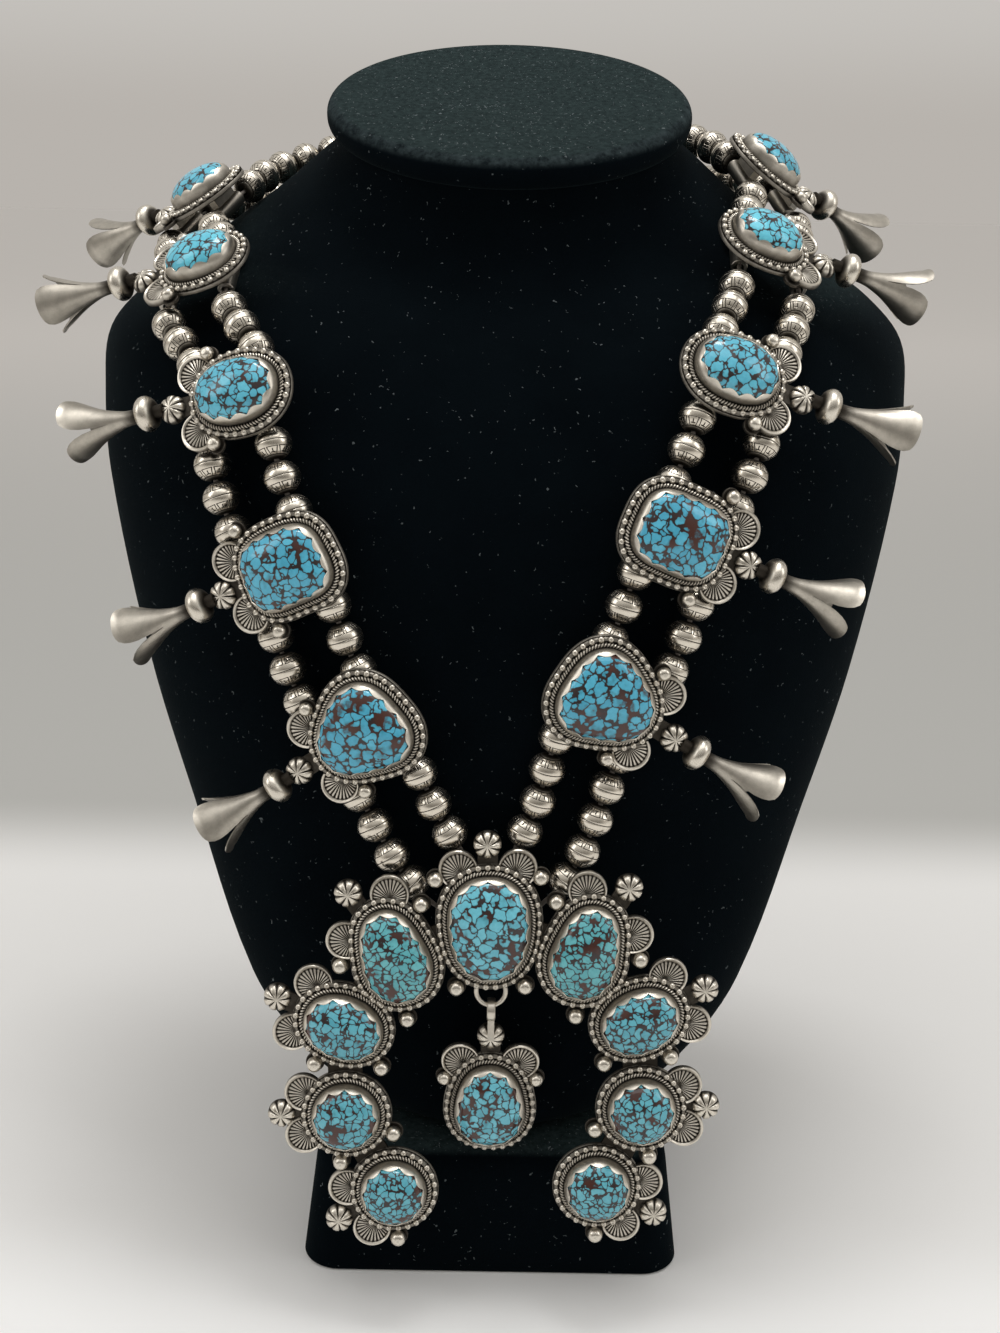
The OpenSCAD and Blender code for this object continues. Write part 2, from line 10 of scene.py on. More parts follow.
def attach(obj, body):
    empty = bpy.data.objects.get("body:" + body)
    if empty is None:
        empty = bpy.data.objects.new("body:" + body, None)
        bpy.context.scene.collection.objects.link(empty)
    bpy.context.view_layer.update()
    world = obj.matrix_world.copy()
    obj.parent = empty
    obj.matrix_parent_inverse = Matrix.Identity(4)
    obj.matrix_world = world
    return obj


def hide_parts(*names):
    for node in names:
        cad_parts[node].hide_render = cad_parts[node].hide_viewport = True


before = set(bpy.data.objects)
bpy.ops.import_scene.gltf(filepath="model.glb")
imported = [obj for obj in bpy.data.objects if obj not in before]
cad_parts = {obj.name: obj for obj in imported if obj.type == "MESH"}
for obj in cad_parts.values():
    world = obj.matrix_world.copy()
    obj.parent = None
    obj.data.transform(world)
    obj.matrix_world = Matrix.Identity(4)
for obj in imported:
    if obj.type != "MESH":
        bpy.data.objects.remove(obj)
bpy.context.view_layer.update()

WORN = "worn_necklace_and_bust"
DROP = "drop"
MM = 0.001
rng = np.random.default_rng(11)

# Bust: its size, then its sections: level, half width, middle, front and back depth, tilt.
bust_height = 292.0
bust_width = 208.0
bust_depth = 136.0
body_form = np.array([
    [0.110, 0.125, -0.037, 0.199, 0.176, 0],
    [0.123, 0.192, -0.033, 0.239, 0.206, 0],
    [0.151, 0.250, -0.022, 0.268, 0.228, 0],
    [0.212, 0.312, 0.007, 0.287, 0.243, 0],
    [0.363, 0.385, 0.088, 0.353, 0.243, 0],
    [0.486, 0.438, 0.147, 0.401, 0.265, 0],
    [0.640, 0.486, 0.235, 0.463, 0.294, 0],
    [0.712, 0.500, 0.324, 0.507, 0.294, 0],
    [0.757, 0.500, 0.397, 0.522, 0.279, 0],
    [0.791, 0.462, 0.441, 0.507, 0.265, 1],
    [0.825, 0.395, 0.463, 0.478, 0.257, 3],
    [0.856, 0.333, 0.449, 0.441, 0.250, 7],
    [0.880, 0.281, 0.404, 0.390, 0.250, 12],
    [0.901, 0.238, 0.346, 0.331, 0.257, 17],
    [0.9155, 0.207, 0.300, 0.279, 0.279, 20],
    [0.9290, 0.202, 0.284, 0.272, 0.272, 20],
])
LEVEL, HALF, MIDDLE, FRONT, BACK, TILT = range(6)
cap_tilt = 20.0
cap_gap = 0.3
cap_width = 89.5
cap_thickness = 7.5
foot_height = body_form[0, LEVEL] * bust_height - 0.12
foot_width = 94.0
foot_depth = 95.0

# Strands.
bead_width = 8.5
bead_length = 7.5
bead_pitch = 7.95
bead_hole = 2.0
thread_width = 1.2
strand_gap = 16.0
strand_shift = 4.2
bead_lift = 0.3 + bead_width / 2
plate_drop = bead_width / 2 + 0.35
clasp_spread = strand_gap / 2 * 0.75

# Settings: stones are length, width, squareness, lobe, its direction and the outline's turn.
trim_width = 3.3
bezel_height = 5.0
stone_height = 7.6
pocket_floor = 1.2
stone_gap = 0.1
plate_top = 1.0
fan_radius = 4.5
fan_turn = 27.0
rosette_radius = 3.2
rosette_reach = 4.4
ball_radius = 1.6
ball_tab = 0.4
ball_turn = 50.0
ball_reach = 1.5
tab_width = 4.6
rondelle_width = 8.2
blossom_length = 17.0
blossom_radius = 6.6
neck_radius = 1.5
axis_lift = 2.0
tube_radius = 2.0
tube_bore = 1.1
tube_length = 10.0
left_stones = [
    (17.5, 13.5, 2.2, 0, 0, 0),
    (17, 13.5, 2.2, 0, 0, 0),
    (19.2, 14, 2.2, 0, 0, 0),
    (20, 16.5, 3.2, 0.02, 90, 0),
    (21, 19.5, 2.1, 0.09, 112, 0),
]
right_stones = [
    (17.5, 13.5, 2.2, 0, 0, 0),
    (17, 13.5, 2.2, 0, 0, 0),
    (18.8, 13.8, 2.2, 0, 0, 0),
    (20.5, 16.5, 3.2, 0, 0, 0),
    (21, 19.5, 2.1, 0.09, 118, 0),
]
# Turn round the bust, level share, turn of the blossom, extra lift, roll of the petals.
left_places = [
    (-77.5, 0.846, 46, 0.3, -33),
    (-46, 0.797, 28, 0, 2),
    (-32, 0.717, 17, 0, -28),
    (-26.5, 0.604, 26.5, 0, -27),
    (-18, 0.483, 36, 0, -39),
]
right_places = [
    (82, 0.8785, 60, 0.8, -47),
    (43.5, 0.825, 33, 0.3, -33),
    (27, 0.734, 23, 0.3, 44),
    (21, 0.634, 24.5, 0, -11),
    (13.5, 0.514, 32, 0.4, -17),
]
clasp_place = (180, 0.870, 90, 0, 0)
inner_rests = {-1: [(-150, 0.886, 0), (-112, 0.874, 0.2)], 1: [(150, 0.887, 0), (120, 0.894, 0.4)]}
outer_rests = {-1: [(-150, 0.855, 0), (-118, 0.846, 0.2)], 1: [(150, 0.857, 0), (120, 0.866, 0.4)]}

# Naja: place across and up, direction, then the stone.
naja_seats = [
    (0, 36.5, 90, (23.5, 18, 2.25, 0.02, 60, 0)),
    (21.8, 29.8, 56, (21.5, 14.6, 2.2, 0.05, 0, 17)),
    (34.2, 13.4, 25, (17.8, 13.8, 2.1, 0, 0, 0)),
    (34.4, -8.4, 1.5, (14.8, 14.8, 2, 0, 0, 0)),
    (23.9, -27.6, -28, (14.4, 14.4, 2, 0, 0, 0)),
]
naja_spread = [25, 28, 28, 28, 32]
naja_balls = [(12, 48), (15.4, 42.2), (34.4, 28), (41.2, 4.4), (36, -20),
              (23.2, -39.4), (7.9, 22.2), (19.4, 14.8), (25.8, 3.1), (23.5, -13.1)]
naja_ball_radius = 1.8
naja_tubes = [46.5, 36.5]
tube_reach = [3.5, 5]
naja_entry = [(6.5, 53.5, -0.6, -0.8), (15, 42.2, -0.72, -0.69)]
naja_lean = math.radians(8.75)
naja_turn = math.radians(2.2)
naja_level = 0.36
naja_stand = 10.6
naja_rise = 45.0
seat_step = 0.2
ring_radius = 3.4
ring_wire = 0.55
ring_gap = 1.3
ring_sink = 0.9
drop_stone = (20, 15.4, 2.2, 0.04, 0, 0)
drop_middle = -27.2
drop_set = 2.55
bail_radius = 2.7
bail_hole = 1.9
bail_width = 1.9
bail_low = 1.1


# Places on the bust.

def unit(v):
    return v / np.linalg.norm(v)


def form(h, c):
    """Value of column c of the bust's table at level h, on smooth curves through the rows."""
    levels = body_form[:, LEVEL]
    last = len(levels) - 1
    k = max(0, min(int(np.searchsorted(levels, h, side="right")) - 1, last - 1))

    def slope(i):
        a, b = max(i - 1, 0), min(i + 1, last)
        return (body_form[b, c] - body_form[a, c]) / (levels[b] - levels[a])

    d = levels[k + 1] - levels[k]
    u = (h - levels[k]) / d
    return ((2 * u**3 - 3 * u**2 + 1) * body_form[k, c] + (u**3 - 2 * u**2 + u) * d * slope(k)
            + (3 * u**2 - 2 * u**3) * body_form[k + 1, c] + (u**3 - u**2) * d * slope(k + 1))


def skin(t, h):
    """Point of the bust at turn t, in degrees from the front, and level h."""
    a = math.radians(t)
    dy = -form(h, FRONT if abs(t) <= 90 else BACK) * bust_depth * math.cos(a)
    return np.array([form(h, HALF) * bust_width * math.sin(a), form(h, MIDDLE) * bust_depth + dy,
                     h * bust_height + dy * math.tan(math.radians(form(h, TILT)))])


def off_skin(t, h):
    """Direction straight off the bust there."""
    return unit(np.cross(skin(t + 0.5, h) - skin(t - 0.5, h), skin(t, h + 0.002) - skin(t, h - 0.002)))


class Spot:
    """An origin with X out along the blossom, Y up the strands and Z off the bust."""

    def __init__(self, origin, x, y, z):
        self.origin = origin
        self.axes = np.array([x, y, z])

    def point(self, v):
        return self.origin + np.asarray(v, float) @ self.axes

    def moved(self, v):
        return Spot(self.point(v), *self.axes)


HERE = Spot(np.zeros(3), *np.eye(3))
UP = np.array([[0, 0, 1.0]])


def turned_axes(angle):
    """X, Y and Z turned about Z by an angle in degrees."""
    a = math.radians(angle)
    return np.array([[math.cos(a), math.sin(a), 0], [-math.sin(a), math.cos(a), 0], [0, 0, 1]])


def skin_spot(place, side):
    t, h, turn, lift = place[:4]
    n = off_skin(t, h)
    e = unit(skin(t + 0.5, h) - skin(t - 0.5, h))
    a = math.radians(turn)
    x = side * math.cos(a) * e - math.sin(a) * np.cross(n, e)
    return Spot(skin(t, h) + lift * n, x, side * np.cross(n, x), n)


naja_up = np.array([0, math.sin(naja_lean), math.cos(naja_lean)])
naja_out = np.array([0, -math.cos(naja_lean), math.sin(naja_lean)])
naja_top = np.array([0, skin(0, naja_level)[1] - naja_stand, naja_level * bust_height])
naja_x = np.array([math.cos(naja_turn), 0, 0]) + math.sin(naja_turn) * naja_up
naja_y = math.cos(naja_turn) * naja_up - np.array([math.sin(naja_turn), 0, 0])
naja_spot = Spot(naja_top - naja_rise * naja_up, naja_x, naja_y, naja_out)


# Outlines of stones.

def reach(s, a):
    """How far the outline of stone s lies from its middle at angles a, in degrees."""
    b = np.radians(np.asarray(a) - s[5])
    r = (np.abs(np.cos(b)) * 2 / s[0]) ** s[2] + (np.abs(np.sin(b)) * 2 / s[1]) ** s[2]
    return r ** (-1 / s[2]) * (1 + s[3] * np.cos(3 * (b - math.radians(s[4]))))


def edge(s, a):
    r = np.radians(a)
    return reach(s, a)[..., None] * np.stack([np.cos(r), np.sin(r)], -1)


def rim(s, d, a):
    """Points of a stone's outline at angles a, in degrees, moved out by d."""
    a = np.asarray(a, float)
    t = edge(s, a + 1) - edge(s, a - 1)
    t /= np.linalg.norm(t, axis=-1, keepdims=True)
    return edge(s, a) + np.asarray(d)[..., None] * np.stack([t[..., 1], -t[..., 0]], -1)


def run(p):
    """How far along the line p each of its points lies."""
    return np.concatenate([[0], np.cumsum(np.linalg.norm(np.diff(p, axis=0), axis=1))])


def even_rim(s, d, n):
    """n points evenly spaced along the outline at distance d, and their angles."""
    a = np.linspace(0, 360, 721)
    x = run(rim(s, d, a))
    angles = np.interp(np.arange(n) * x[-1] / n, x, a)
    return rim(s, d, angles), angles


def laps(s, d, pitch):
    """How many steps of about this pitch fit round the outline at distance d."""
    return round(run(rim(s, d, np.linspace(0, 360, 721)))[-1] / pitch)


def raised(p, z):
    """Points of a plane at height z, one for all or one each."""
    return np.column_stack([p, np.broadcast_to(z, len(p))])


# Mesh making. Every vertex also carries how tarnished the metal is there.

class Shape:
    def __init__(self):
        self.points, self.faces, self.dark, self.count = [], [], [], 0

    def add(self, points, faces, dark=0.0):
        points = np.asarray(points, float).reshape(-1, 3)
        self.points.append(points)
        self.faces += [tuple(int(i) + self.count for i in f) for f in faces]
        self.dark.append(np.broadcast_to(np.asarray(dark, float).reshape(-1), (len(points),)))
        self.count += len(points)

    def grid(self, p, dark=0.0, loop_u=False, loop_v=False, caps=(False, False)):
        """p is rows by columns of points. Faces look out where columns turn left as rows rise."""
        p = np.asarray(p, float)
        rows, cols = p.shape[:2]
        i = np.arange(rows * cols).reshape(rows, cols)
        a = np.concatenate([i, i[:1]]) if loop_u else i
        a = np.concatenate([a, a[:, :1]], 1) if loop_v else a
        faces = np.stack([a[:-1, :-1], a[:-1, 1:], a[1:, 1:], a[1:, :-1]], -1).reshape(-1, 4).tolist()
        if caps[0]:
            faces.append(i[0, ::-1].tolist())
        if caps[1]:
            faces.append(i[-1].tolist())
        self.add(p, faces, np.broadcast_to(dark, (rows, cols)))

    def join(self, other, spot, flip=False):
        """Adds another shape set on a spot. flip mirrors it across the spot's X."""
        p = np.concatenate(other.points)
        if flip:
            p = p * [-1, 1, 1]
        faces = other.faces
        if (np.linalg.det(spot.axes) < 0) != flip:
            faces = [f[::-1] for f in faces]
        self.add(spot.origin + p @ spot.axes, faces, np.concatenate(other.dark))

    def turned(self, x, y, angle, z=0.0):
        """A copy turned about Z by angle and moved to x, y, z."""
        return self.on(Spot(np.array([x, y, z], float), *turned_axes(angle)))

    def on(self, spot, flip=False):
        """A copy set on a spot."""
        out = Shape()
        out.join(self, spot, flip)
        return out

    def make(self, name, material, body, slot, nodes, smooth=38.0):
        """The finished piece, riding on a body in place of CAD nodes. smooth is its sharp edges' angle."""
        me = bpy.data.meshes.new(name)
        me.from_pydata((np.concatenate(self.points) * MM).tolist(), [], self.faces)
        me.attributes.new("tarnish", "FLOAT", "POINT").data.foreach_set(
            "value", np.concatenate(self.dark).astype(np.float32))
        me.polygons.foreach_set("use_smooth", [True] * len(me.polygons))
        me.set_sharp_from_angle(angle=math.radians(smooth))
        me.materials.append(material)
        o = bpy.data.objects.new(name, me)
        bpy.context.scene.collection.objects.link(o)
        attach(o, body)
        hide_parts(*nodes)
        return o


def surface(p, dark=0.0, **how):
    """A new shape of one grid."""
    out = Shape()
    out.grid(p, dark, **how)
    return out


def lathe(rows, n, dark, axis="z", origin=(0, 0, 0)):
    """Rows of (place along the axis, radius) turned round it, dark being a value a row."""
    rows = np.asarray(rows, float)
    a = np.arange(n) * 2 * math.pi / n
    z = np.repeat(rows[:, :1], n, 1)
    x, y = rows[:, 1:] * np.cos(a), rows[:, 1:] * np.sin(a)
    p = np.stack([x, y, z] if axis == "z" else [z, x, y], -1) + np.asarray(origin, float)
    return surface(p, np.vstack(dark), loop_v=True, caps=(True, True))


def tube(centres, e, f, b, r):
    """Points at angles b and radius r round each centre, e and f being its two ways across."""
    r = np.broadcast_to(r, (len(centres), len(b)))[..., None]
    return centres[:, None] + r * (np.cos(b)[:, None] * e[:, None] + np.sin(b)[:, None] * f[:, None])


def box(low, high, dark):
    (x0, y0, z0), (x1, y1, z1) = low, high
    return surface([[(x0, y0, z), (x1, y0, z), (x1, y1, z), (x0, y1, z)] for z in (z0, z1)],
                   dark, loop_v=True, caps=(True, True))


def merge(*shapes):
    out = Shape()
    for s in shapes:
        out.join(s, HERE)
    return out


# Parts of a setting, each in its seat's own frame: X out, Z up, plate's back at 0.

def plate(s):
    a = np.arange(120) * 3.0
    rows = [(trim_width - 0.15, 0, 0.7), (trim_width, 0.15, 0.6), (trim_width, 0.8, 0.5),
            (trim_width - 0.12, 0.98, 0.55), (trim_width - 0.3, plate_top, 0.9), (0.2, plate_top, 1.0)]
    return surface([raised(rim(s, d, a), z) for d, z, _ in rows], np.vstack([row[2] for row in rows]),
                   loop_v=True, caps=(True, False))


def bead_wire(s):
    """A wire drawn into round beads with flattened, dimpled tops, soldered round the plate's edge."""
    d, pitch, radius, uneven = trim_width - 0.88, 2.2, 0.82, 0.04
    n = laps(s, d, pitch)
    lat = np.radians([-30, -5, 20, 42, 58, 68, 80])
    wide, high = np.cos(lat), np.sin(lat)
    high[-2:] = [0.90, 0.80]
    lon = np.arange(12) * math.pi / 6
    ball = np.array([[(w * math.cos(a), w * math.sin(a), h) for a in lon] for w, h in zip(wide, high)])
    shade = np.vstack([1.0, 0.85, 0.50, 0.16, 0.0, 0.02, 0.30])
    out = Shape()
    for x, y in even_rim(s, d, n)[0]:
        r = radius * (1 + rng.uniform(-uneven, uneven))
        out.grid(ball * [r, r, 0.86] + [x, y, plate_top + 0.42], shade, loop_v=True, caps=(False, True))
    centres, out_way = wire_line(s, d, plate_top + 0.30, 3 * n)
    p = tube(centres, out_way, UP, np.arange(6) * math.pi / 3, 0.52)
    out.grid(p[:, ::-1], 0.56, loop_u=True, loop_v=True)
    return out


def wire_line(s, d, z, n):
    """n points evenly round the stone, at distance d and height z, and the way out at each."""
    p, angles = even_rim(s, d, n)
    return raised(p, z), raised(rim(s, d + 1.0, angles) - p, 0)


def rope_wire(s):
    """Two strands twisted together, their ridges slanting across the wire."""
    d, radius, z, pitch, lean = 1.14, 0.62, plate_top + 0.60, 0.72, 2.1
    ridges = laps(s, d, pitch)
    n = ridges * 4
    centres, out_way = wire_line(s, d, z, n)
    b = np.radians(np.array([-25, 12, 45, 72, 90, 108, 135, 168, 205]))
    wave = 0.5 + 0.5 * np.cos(2 * math.pi * ridges * np.arange(n)[:, None] / n - lean * b)
    ridge = 1 - (1 - wave) ** 1.6
    p = tube(centres, out_way, UP, b, radius * (0.60 + 0.40 * ridge))
    side = 1 - np.clip(np.sin(b), 0, 1)
    dark = np.clip(0.05 + 1.1 * (1 - ridge) + 0.5 * side**2, 0, 1)
    return surface(p[:, ::-1], dark[:, ::-1], loop_u=True)


def dome(u):
    """Height of a stone's polished top at share u of the way to its edge."""
    low = bezel_height - 1.6
    return low + (stone_height - low) * np.clip(1 - np.asarray(u, float) ** 2, 0, 1) ** (1 / 2.4)


def bezel(s):
    """A thin smooth wall that leans in over the stone, its edge cut into lobes parted by notches."""
    foot, pitch, per = 0.3, 4.1, 12
    n = laps(s, foot, pitch) * per
    angles = even_rim(s, foot, n)[1]
    t = (np.arange(n) % per) / per * 2 - 1
    lobe = 1 - np.abs(t) ** 2.2
    lobe *= 1 - 0.06 * (1 + np.sin(np.arange(n) // per * 2.4)) / 2
    # The wall's line from its foot to the tip of a lobe, which ends on row 7. A notch ends near row 5.
    out_by = np.array([0.60, 0.60, 0.57, 0.50, 0.37, 0.17, -0.10, -0.50])
    level = np.array([plate_top - 0.2, 2.0, 2.9, 3.6, 4.15, 4.52, 4.80, 5.2])
    tip = dome(1 - 0.5 / reach(s, angles)) + 0.16
    end = 5.1 + 1.9 * lobe
    rows = [(np.full(n, float(k)), dark) for k, dark in ((0, 0.95), (1, 0.74), (2, 0.50))]
    rows += [(2 + (end - 2) * share, dark)
             for share, dark in ((0.3, 0.38), (0.6, 0.27), (0.88, 0.12), (1, 0.0))]
    p, darks = [], [dark for _, dark in rows] + [0.05, 1.0]
    for k, _ in rows:
        d, z = np.interp(k, np.arange(8), out_by), np.interp(k, np.arange(8), level)
        bent = level[4] + (z - level[4]) * (tip - level[4]) / (level[7] - level[4])
        z = np.where(z > level[4], bent, z)
        p.append(raised(rim(s, d, angles), z))
    for inward, down in ((0.15, 0.03), (0.18, 0.28)):
        p.append(raised(rim(s, d - inward, angles), z - down))
    return surface(p, np.vstack(darks), loop_v=True)


def seat(s):
    return merge(plate(s), bead_wire(s), rope_wire(s), bezel(s))


def inside(outlines, p):
    """Whether the point p lies on one of the plates, given as (x, y, turn, stone)."""
    for x, y, turn, s in outlines:
        q = np.asarray(p) - [x, y]
        a = math.degrees(math.atan2(q[1], q[0])) - turn
        if np.linalg.norm(q) < np.linalg.norm(rim(s, trim_width - 0.25, a)):
            return True
    return False


def fan(centre, towards, outlines):
    """A stamped shell. Its ridges spread from under the plate's edge to a smooth raised rim, and it
    is clipped where plates cover it."""
    focus, depth = 1.3, 0.34
    ridges, per = 30, 6
    n = ridges * per
    t = np.arange(n + 1) * 2 * math.pi / n - math.pi
    a = t + math.radians(towards)
    start = np.array(centre) - focus * turned_axes(towards)[0, :2]
    outer = focus * np.cos(t) + np.sqrt(fan_radius**2 - (focus * np.sin(t)) ** 2)
    low, high = np.zeros(n + 1), np.zeros(n + 1)
    for i in range(n + 1):
        steps = np.linspace(0.05, 1, 26) * outer[i]
        free = [not inside(outlines, start + r * np.array([math.cos(a[i]), math.sin(a[i])])) for r in steps]
        if not any(free):
            continue
        first = free.index(True)
        last = first + (free[first:] + [False]).index(False) - 1
        low[i] = max(steps[first] - 0.3, 0)
        high[i] = outer[i] if last == len(steps) - 1 else steps[last] + 0.05
    k = np.arange(n + 1) % per
    groove = np.exp(-(np.minimum(k, per - k) / 1.35) ** 2)
    rows = [(0, 0, 0.9), (0.12, 0.5, 0.5), (0.22, 0.9, 0.3), (0.45, 1, 0.15), (0.78, 1, 0.12),
            (0.84, 0.5, 0.6), (0.875, 0, 0.3), (0.92, 0, 0.08), (0.97, 0, 0.04), (1, 0, 0.3), (1, 0, 0.8)]
    height = [0.95, 1.02, 1.10, 1.26, 1.32, 1.08, 1.34, 1.5, 1.46, 1.25, 0.0]
    p, dark = [], []
    for (u, g, k0), z in zip(rows, height):
        r = np.clip(u * outer, low, np.maximum(high, low))
        p.append(np.column_stack([start[0] + r * np.cos(a), start[1] + r * np.sin(a), z - depth * g * groove]))
        dark.append(np.clip(k0 + g * groove, 0, 1))
    keep = np.flatnonzero(high > low + 0.5)
    keep = slice(keep[0], keep[-1] + 1)
    return surface(np.transpose(p, (1, 0, 2))[keep], np.array(dark).T[keep])


def rosette(x, y=0.0):
    """A domed button with eight flutes."""
    flutes, per = 8, 8
    n = flutes * per
    a = (np.arange(n) + 0.5 * per) * 2 * math.pi / n
    t = np.abs((np.arange(n) % per) / per * 2 - 1)
    groove = np.exp(-((1 - t) / 0.26) ** 2)
    rows = [(1.0, 0.0, 0.8, 0), (1.0, 1.1, 0.5, 1), (0.97, 1.6, 0.2, 1), (0.86, 2.1, 0.05, 1),
            (0.68, 2.5, 0.0, 1), (0.48, 2.74, 0.0, 1), (0.3, 2.82, 0.05, 0.9), (0.16, 2.86, 0.1, 0.5),
            (0.04, 2.9, 0.1, 0)]
    p, dark = [], []
    for u, z, k, g in rows:
        r = rosette_radius * u * (1 - 0.09 * groove * g)
        p.append(np.column_stack([x + r * np.cos(a), y + r * np.sin(a),
                                  z - 0.42 * g * groove * min(1, u * 2)]))
        dark.append(np.clip(k + g * groove, 0, 1))
    return surface(p, dark, loop_v=True, caps=(True, True))


def ball(x, y, r=ball_radius):
    """A shot ball on a small round backing."""
    back = r + ball_tab
    disc = lathe([(0, back - 0.1), (0.1, back), (0.75, back), (0.9, back - 0.15), (0.9, r * 0.5)], 28,
                 [0.8, 0.7, 0.7, 0.85, 1.0], origin=(x, y, 0))
    lat = np.radians([-50, -30, -12, 5, 22, 38, 53, 67, 79, 87])
    z = np.minimum(np.sin(lat), 0.80 + 0.10 * np.sin(lat))
    top = lathe(np.column_stack([0.9 + r * 0.72 + r * z, r * np.cos(lat)]), 24,
                [1, 0.8, 0.5, 0.25, 0.1, 0, 0, 0, 0.05, 0.22], origin=(x, y, 0))
    return merge(disc, top)


def crown(s, turn, seats=None, here=(0, 0, 0)):
    """Rosette and two fans at the seat's outward end, and how far out the rosette lies.

    here is where the seat lies among the seats."""
    x0, y0, t0 = here
    far = rim(s, trim_width, 0)[0] + rosette_reach
    out = Shape()
    for a in (-turn, turn):
        p = rim(s, trim_width + 0.5, a)
        middle = [x0, y0] + p @ turned_axes(t0)[:2, :2]
        out.join(fan(middle, math.degrees(math.atan2(p[1], p[0])) + t0, seats or [(0, 0, 0, s)]), HERE)
    tab = box((far - rosette_reach - 0.6, -tab_width / 2, 0), (far, tab_width / 2, 0.85), 0.8)
    out.join(merge(rosette(far), tab).turned(x0, y0, t0), HERE)
    return out, far


def rondelle(x):
    a = np.radians(np.arange(-90, 91, 11.25))
    rows = np.column_stack([x + 2.3 * np.sin(a), rondelle_width / 2 * np.abs(np.cos(a)) ** 0.72 + 0.02])
    d = np.clip((np.abs(np.sin(a)) - 0.62) * 2.6, 0, 1)
    return lathe(rows, 40, d, "x", (0, 0, axis_lift))


def blossom(x, roll):
    """Trumpet that splits into three broad petals with rounded, curled tips."""
    l, r, wall = blossom_length, blossom_radius, 0.5
    split = 0.42
    at = np.array([0.0, 0.08, 0.2, 0.35, 0.5, 0.65, 0.8, 0.92, 1.0])
    radius = np.array([0.25, 0.25, 0.27, 0.36, 0.48, 0.64, 0.82, 0.96, 1.03]) * r

    def outer(u):
        k, blur = np.interp(u, at, radius), 0.04
        return (np.interp(u - blur, at, radius) + 2 * k
                + np.interp(np.minimum(u + blur, 1), at, radius)) / 4

    def place(u, phi, depth):
        rad = outer(u) - depth
        return np.stack([x + l * u, rad * np.sin(phi), axis_lift + rad * np.cos(phi)], -1)

    out = Shape()
    u = np.linspace(0, split + 0.015, 14)
    phi = np.radians(np.arange(48) * 7.5)
    neck = place(u[:, None] * np.ones(48), np.ones((14, 1)) * phi, 0.0)
    out.grid(neck[:, ::-1], np.clip(0.95 - u / split * 1.1, 0.34, 1)[:, None], loop_v=True)
    back = place(np.array([split + 0.015, split - 0.1])[:, None] * np.ones(48), np.ones((2, 1)) * phi, wall)
    out.grid(back, 0.9, loop_v=True, caps=(False, True))

    slot_at = np.array([0.42, 0.50, 0.62, 0.76, 0.86, 0.94])
    slot_half = np.array([0.02, 0.12, 0.25, 0.6, 1.15, 1.9])
    rows, cols = 30, 13
    w, v = np.linspace(0, 1, rows)[:, None], np.linspace(-1, 1, cols)
    u = split + (0.93 - split) * w + 0.095 * w**3 * np.sqrt(np.clip(1 - np.abs(v) ** 2.8, 0, 1))
    half = math.radians(60) - np.arcsin(np.clip(np.interp(u, slot_at, slot_half) / outer(u), 0, 0.9))
    curl = 0.5 * np.clip((u - 0.94) / 0.08, 0, 1) ** 2 + 0.35 * np.abs(v) ** 4 * w**2
    shade = np.array([0.4] + [0.34] * (cols - 2) + [0.4] + [0.55] * cols)
    for k in range(3):
        phi = math.radians(roll + 60 + 120 * k) + v * half
        top, under = place(u, phi, -curl), place(u, phi, wall - curl)
        out.grid(np.concatenate([top, under[:, ::-1]], 1)[:, ::-1], shade[::-1], loop_v=True)
        out.grid(np.stack([top[-1], under[-1]])[:, ::-1], 0.15)
    return out


def strand_tube(x, z, length, edge, sides, dark):
    """A tube along Y that a strand runs through, its ends rounded off by edge."""
    h, r = length / 2, tube_radius
    rows = [(-h, tube_bore), (-h, r - edge), (edge - h, r), (h - edge, r), (h, r - edge), (h, tube_bore),
            (-h, tube_bore)]
    b = np.arange(sides) * 2 * math.pi / sides
    return surface([np.column_stack([x + q * np.sin(b), np.full(sides, y), z + q * np.cos(b)])
                    for y, q in rows], dark, loop_v=True)


def back_tubes(xs, length, web):
    """Tubes that the strands run through, on webs from the plate's back."""
    low = -plate_drop + tube_radius - 0.25
    return merge(*[part for x in xs for part in (
        strand_tube(x, -plate_drop, length, 0.15, 28, 0.25),
        box((x - 1.1, -web / 2, low), (x + 1.1, web / 2, 0.2), 0.35))])


def strand_x(s):
    return s * strand_gap / 2 + strand_shift


def lone_seat(s):
    """A seat with its crown and a ball on each side, and how far out the rosette lies."""
    top, far = crown(s, fan_turn)
    balls = [ball(*rim(s, trim_width + ball_reach, a)) for a in (-ball_turn, ball_turn)]
    return merge(seat(s), top, *balls), far


def setting(s, roll):
    """All soldered silver of one blossom's setting."""
    out, far = lone_seat(s)
    end = far + rosette_radius
    neck = lathe([(end - 1.5, neck_radius), (end + 1.6, neck_radius)], 20, [0.9, 0.9], "x", (0, 0, axis_lift))
    return merge(out, neck, rondelle(end + 2.9), blossom(end + 5.0, roll),
                 back_tubes([strand_x(-1), strand_x(1)], tube_length, tube_length - 2))


def stone(s):
    """Domed stone, a little uneven, as cut and polished by hand."""
    a = np.arange(88) * 360 / 88
    p = rim(s, -stone_gap, a)
    rho = np.array([1.0, 1.0, 0.992, 0.97, 0.94, 0.89, 0.82, 0.73, 0.62, 0.5, 0.37, 0.24, 0.12, 0.03])
    z = dome(rho)
    z[0] = pocket_floor + stone_gap
    wave = 1 + 0.010 * np.sin(3 * np.radians(a) + s[0]) + 0.007 * np.sin(5 * np.radians(a) + s[1])
    return surface([raised(p * r * (wave[:, None] if 0.2 < r < 0.9 else 1), h) for r, h in zip(rho, z)],
                   loop_v=True, caps=(True, True))


# Materials.

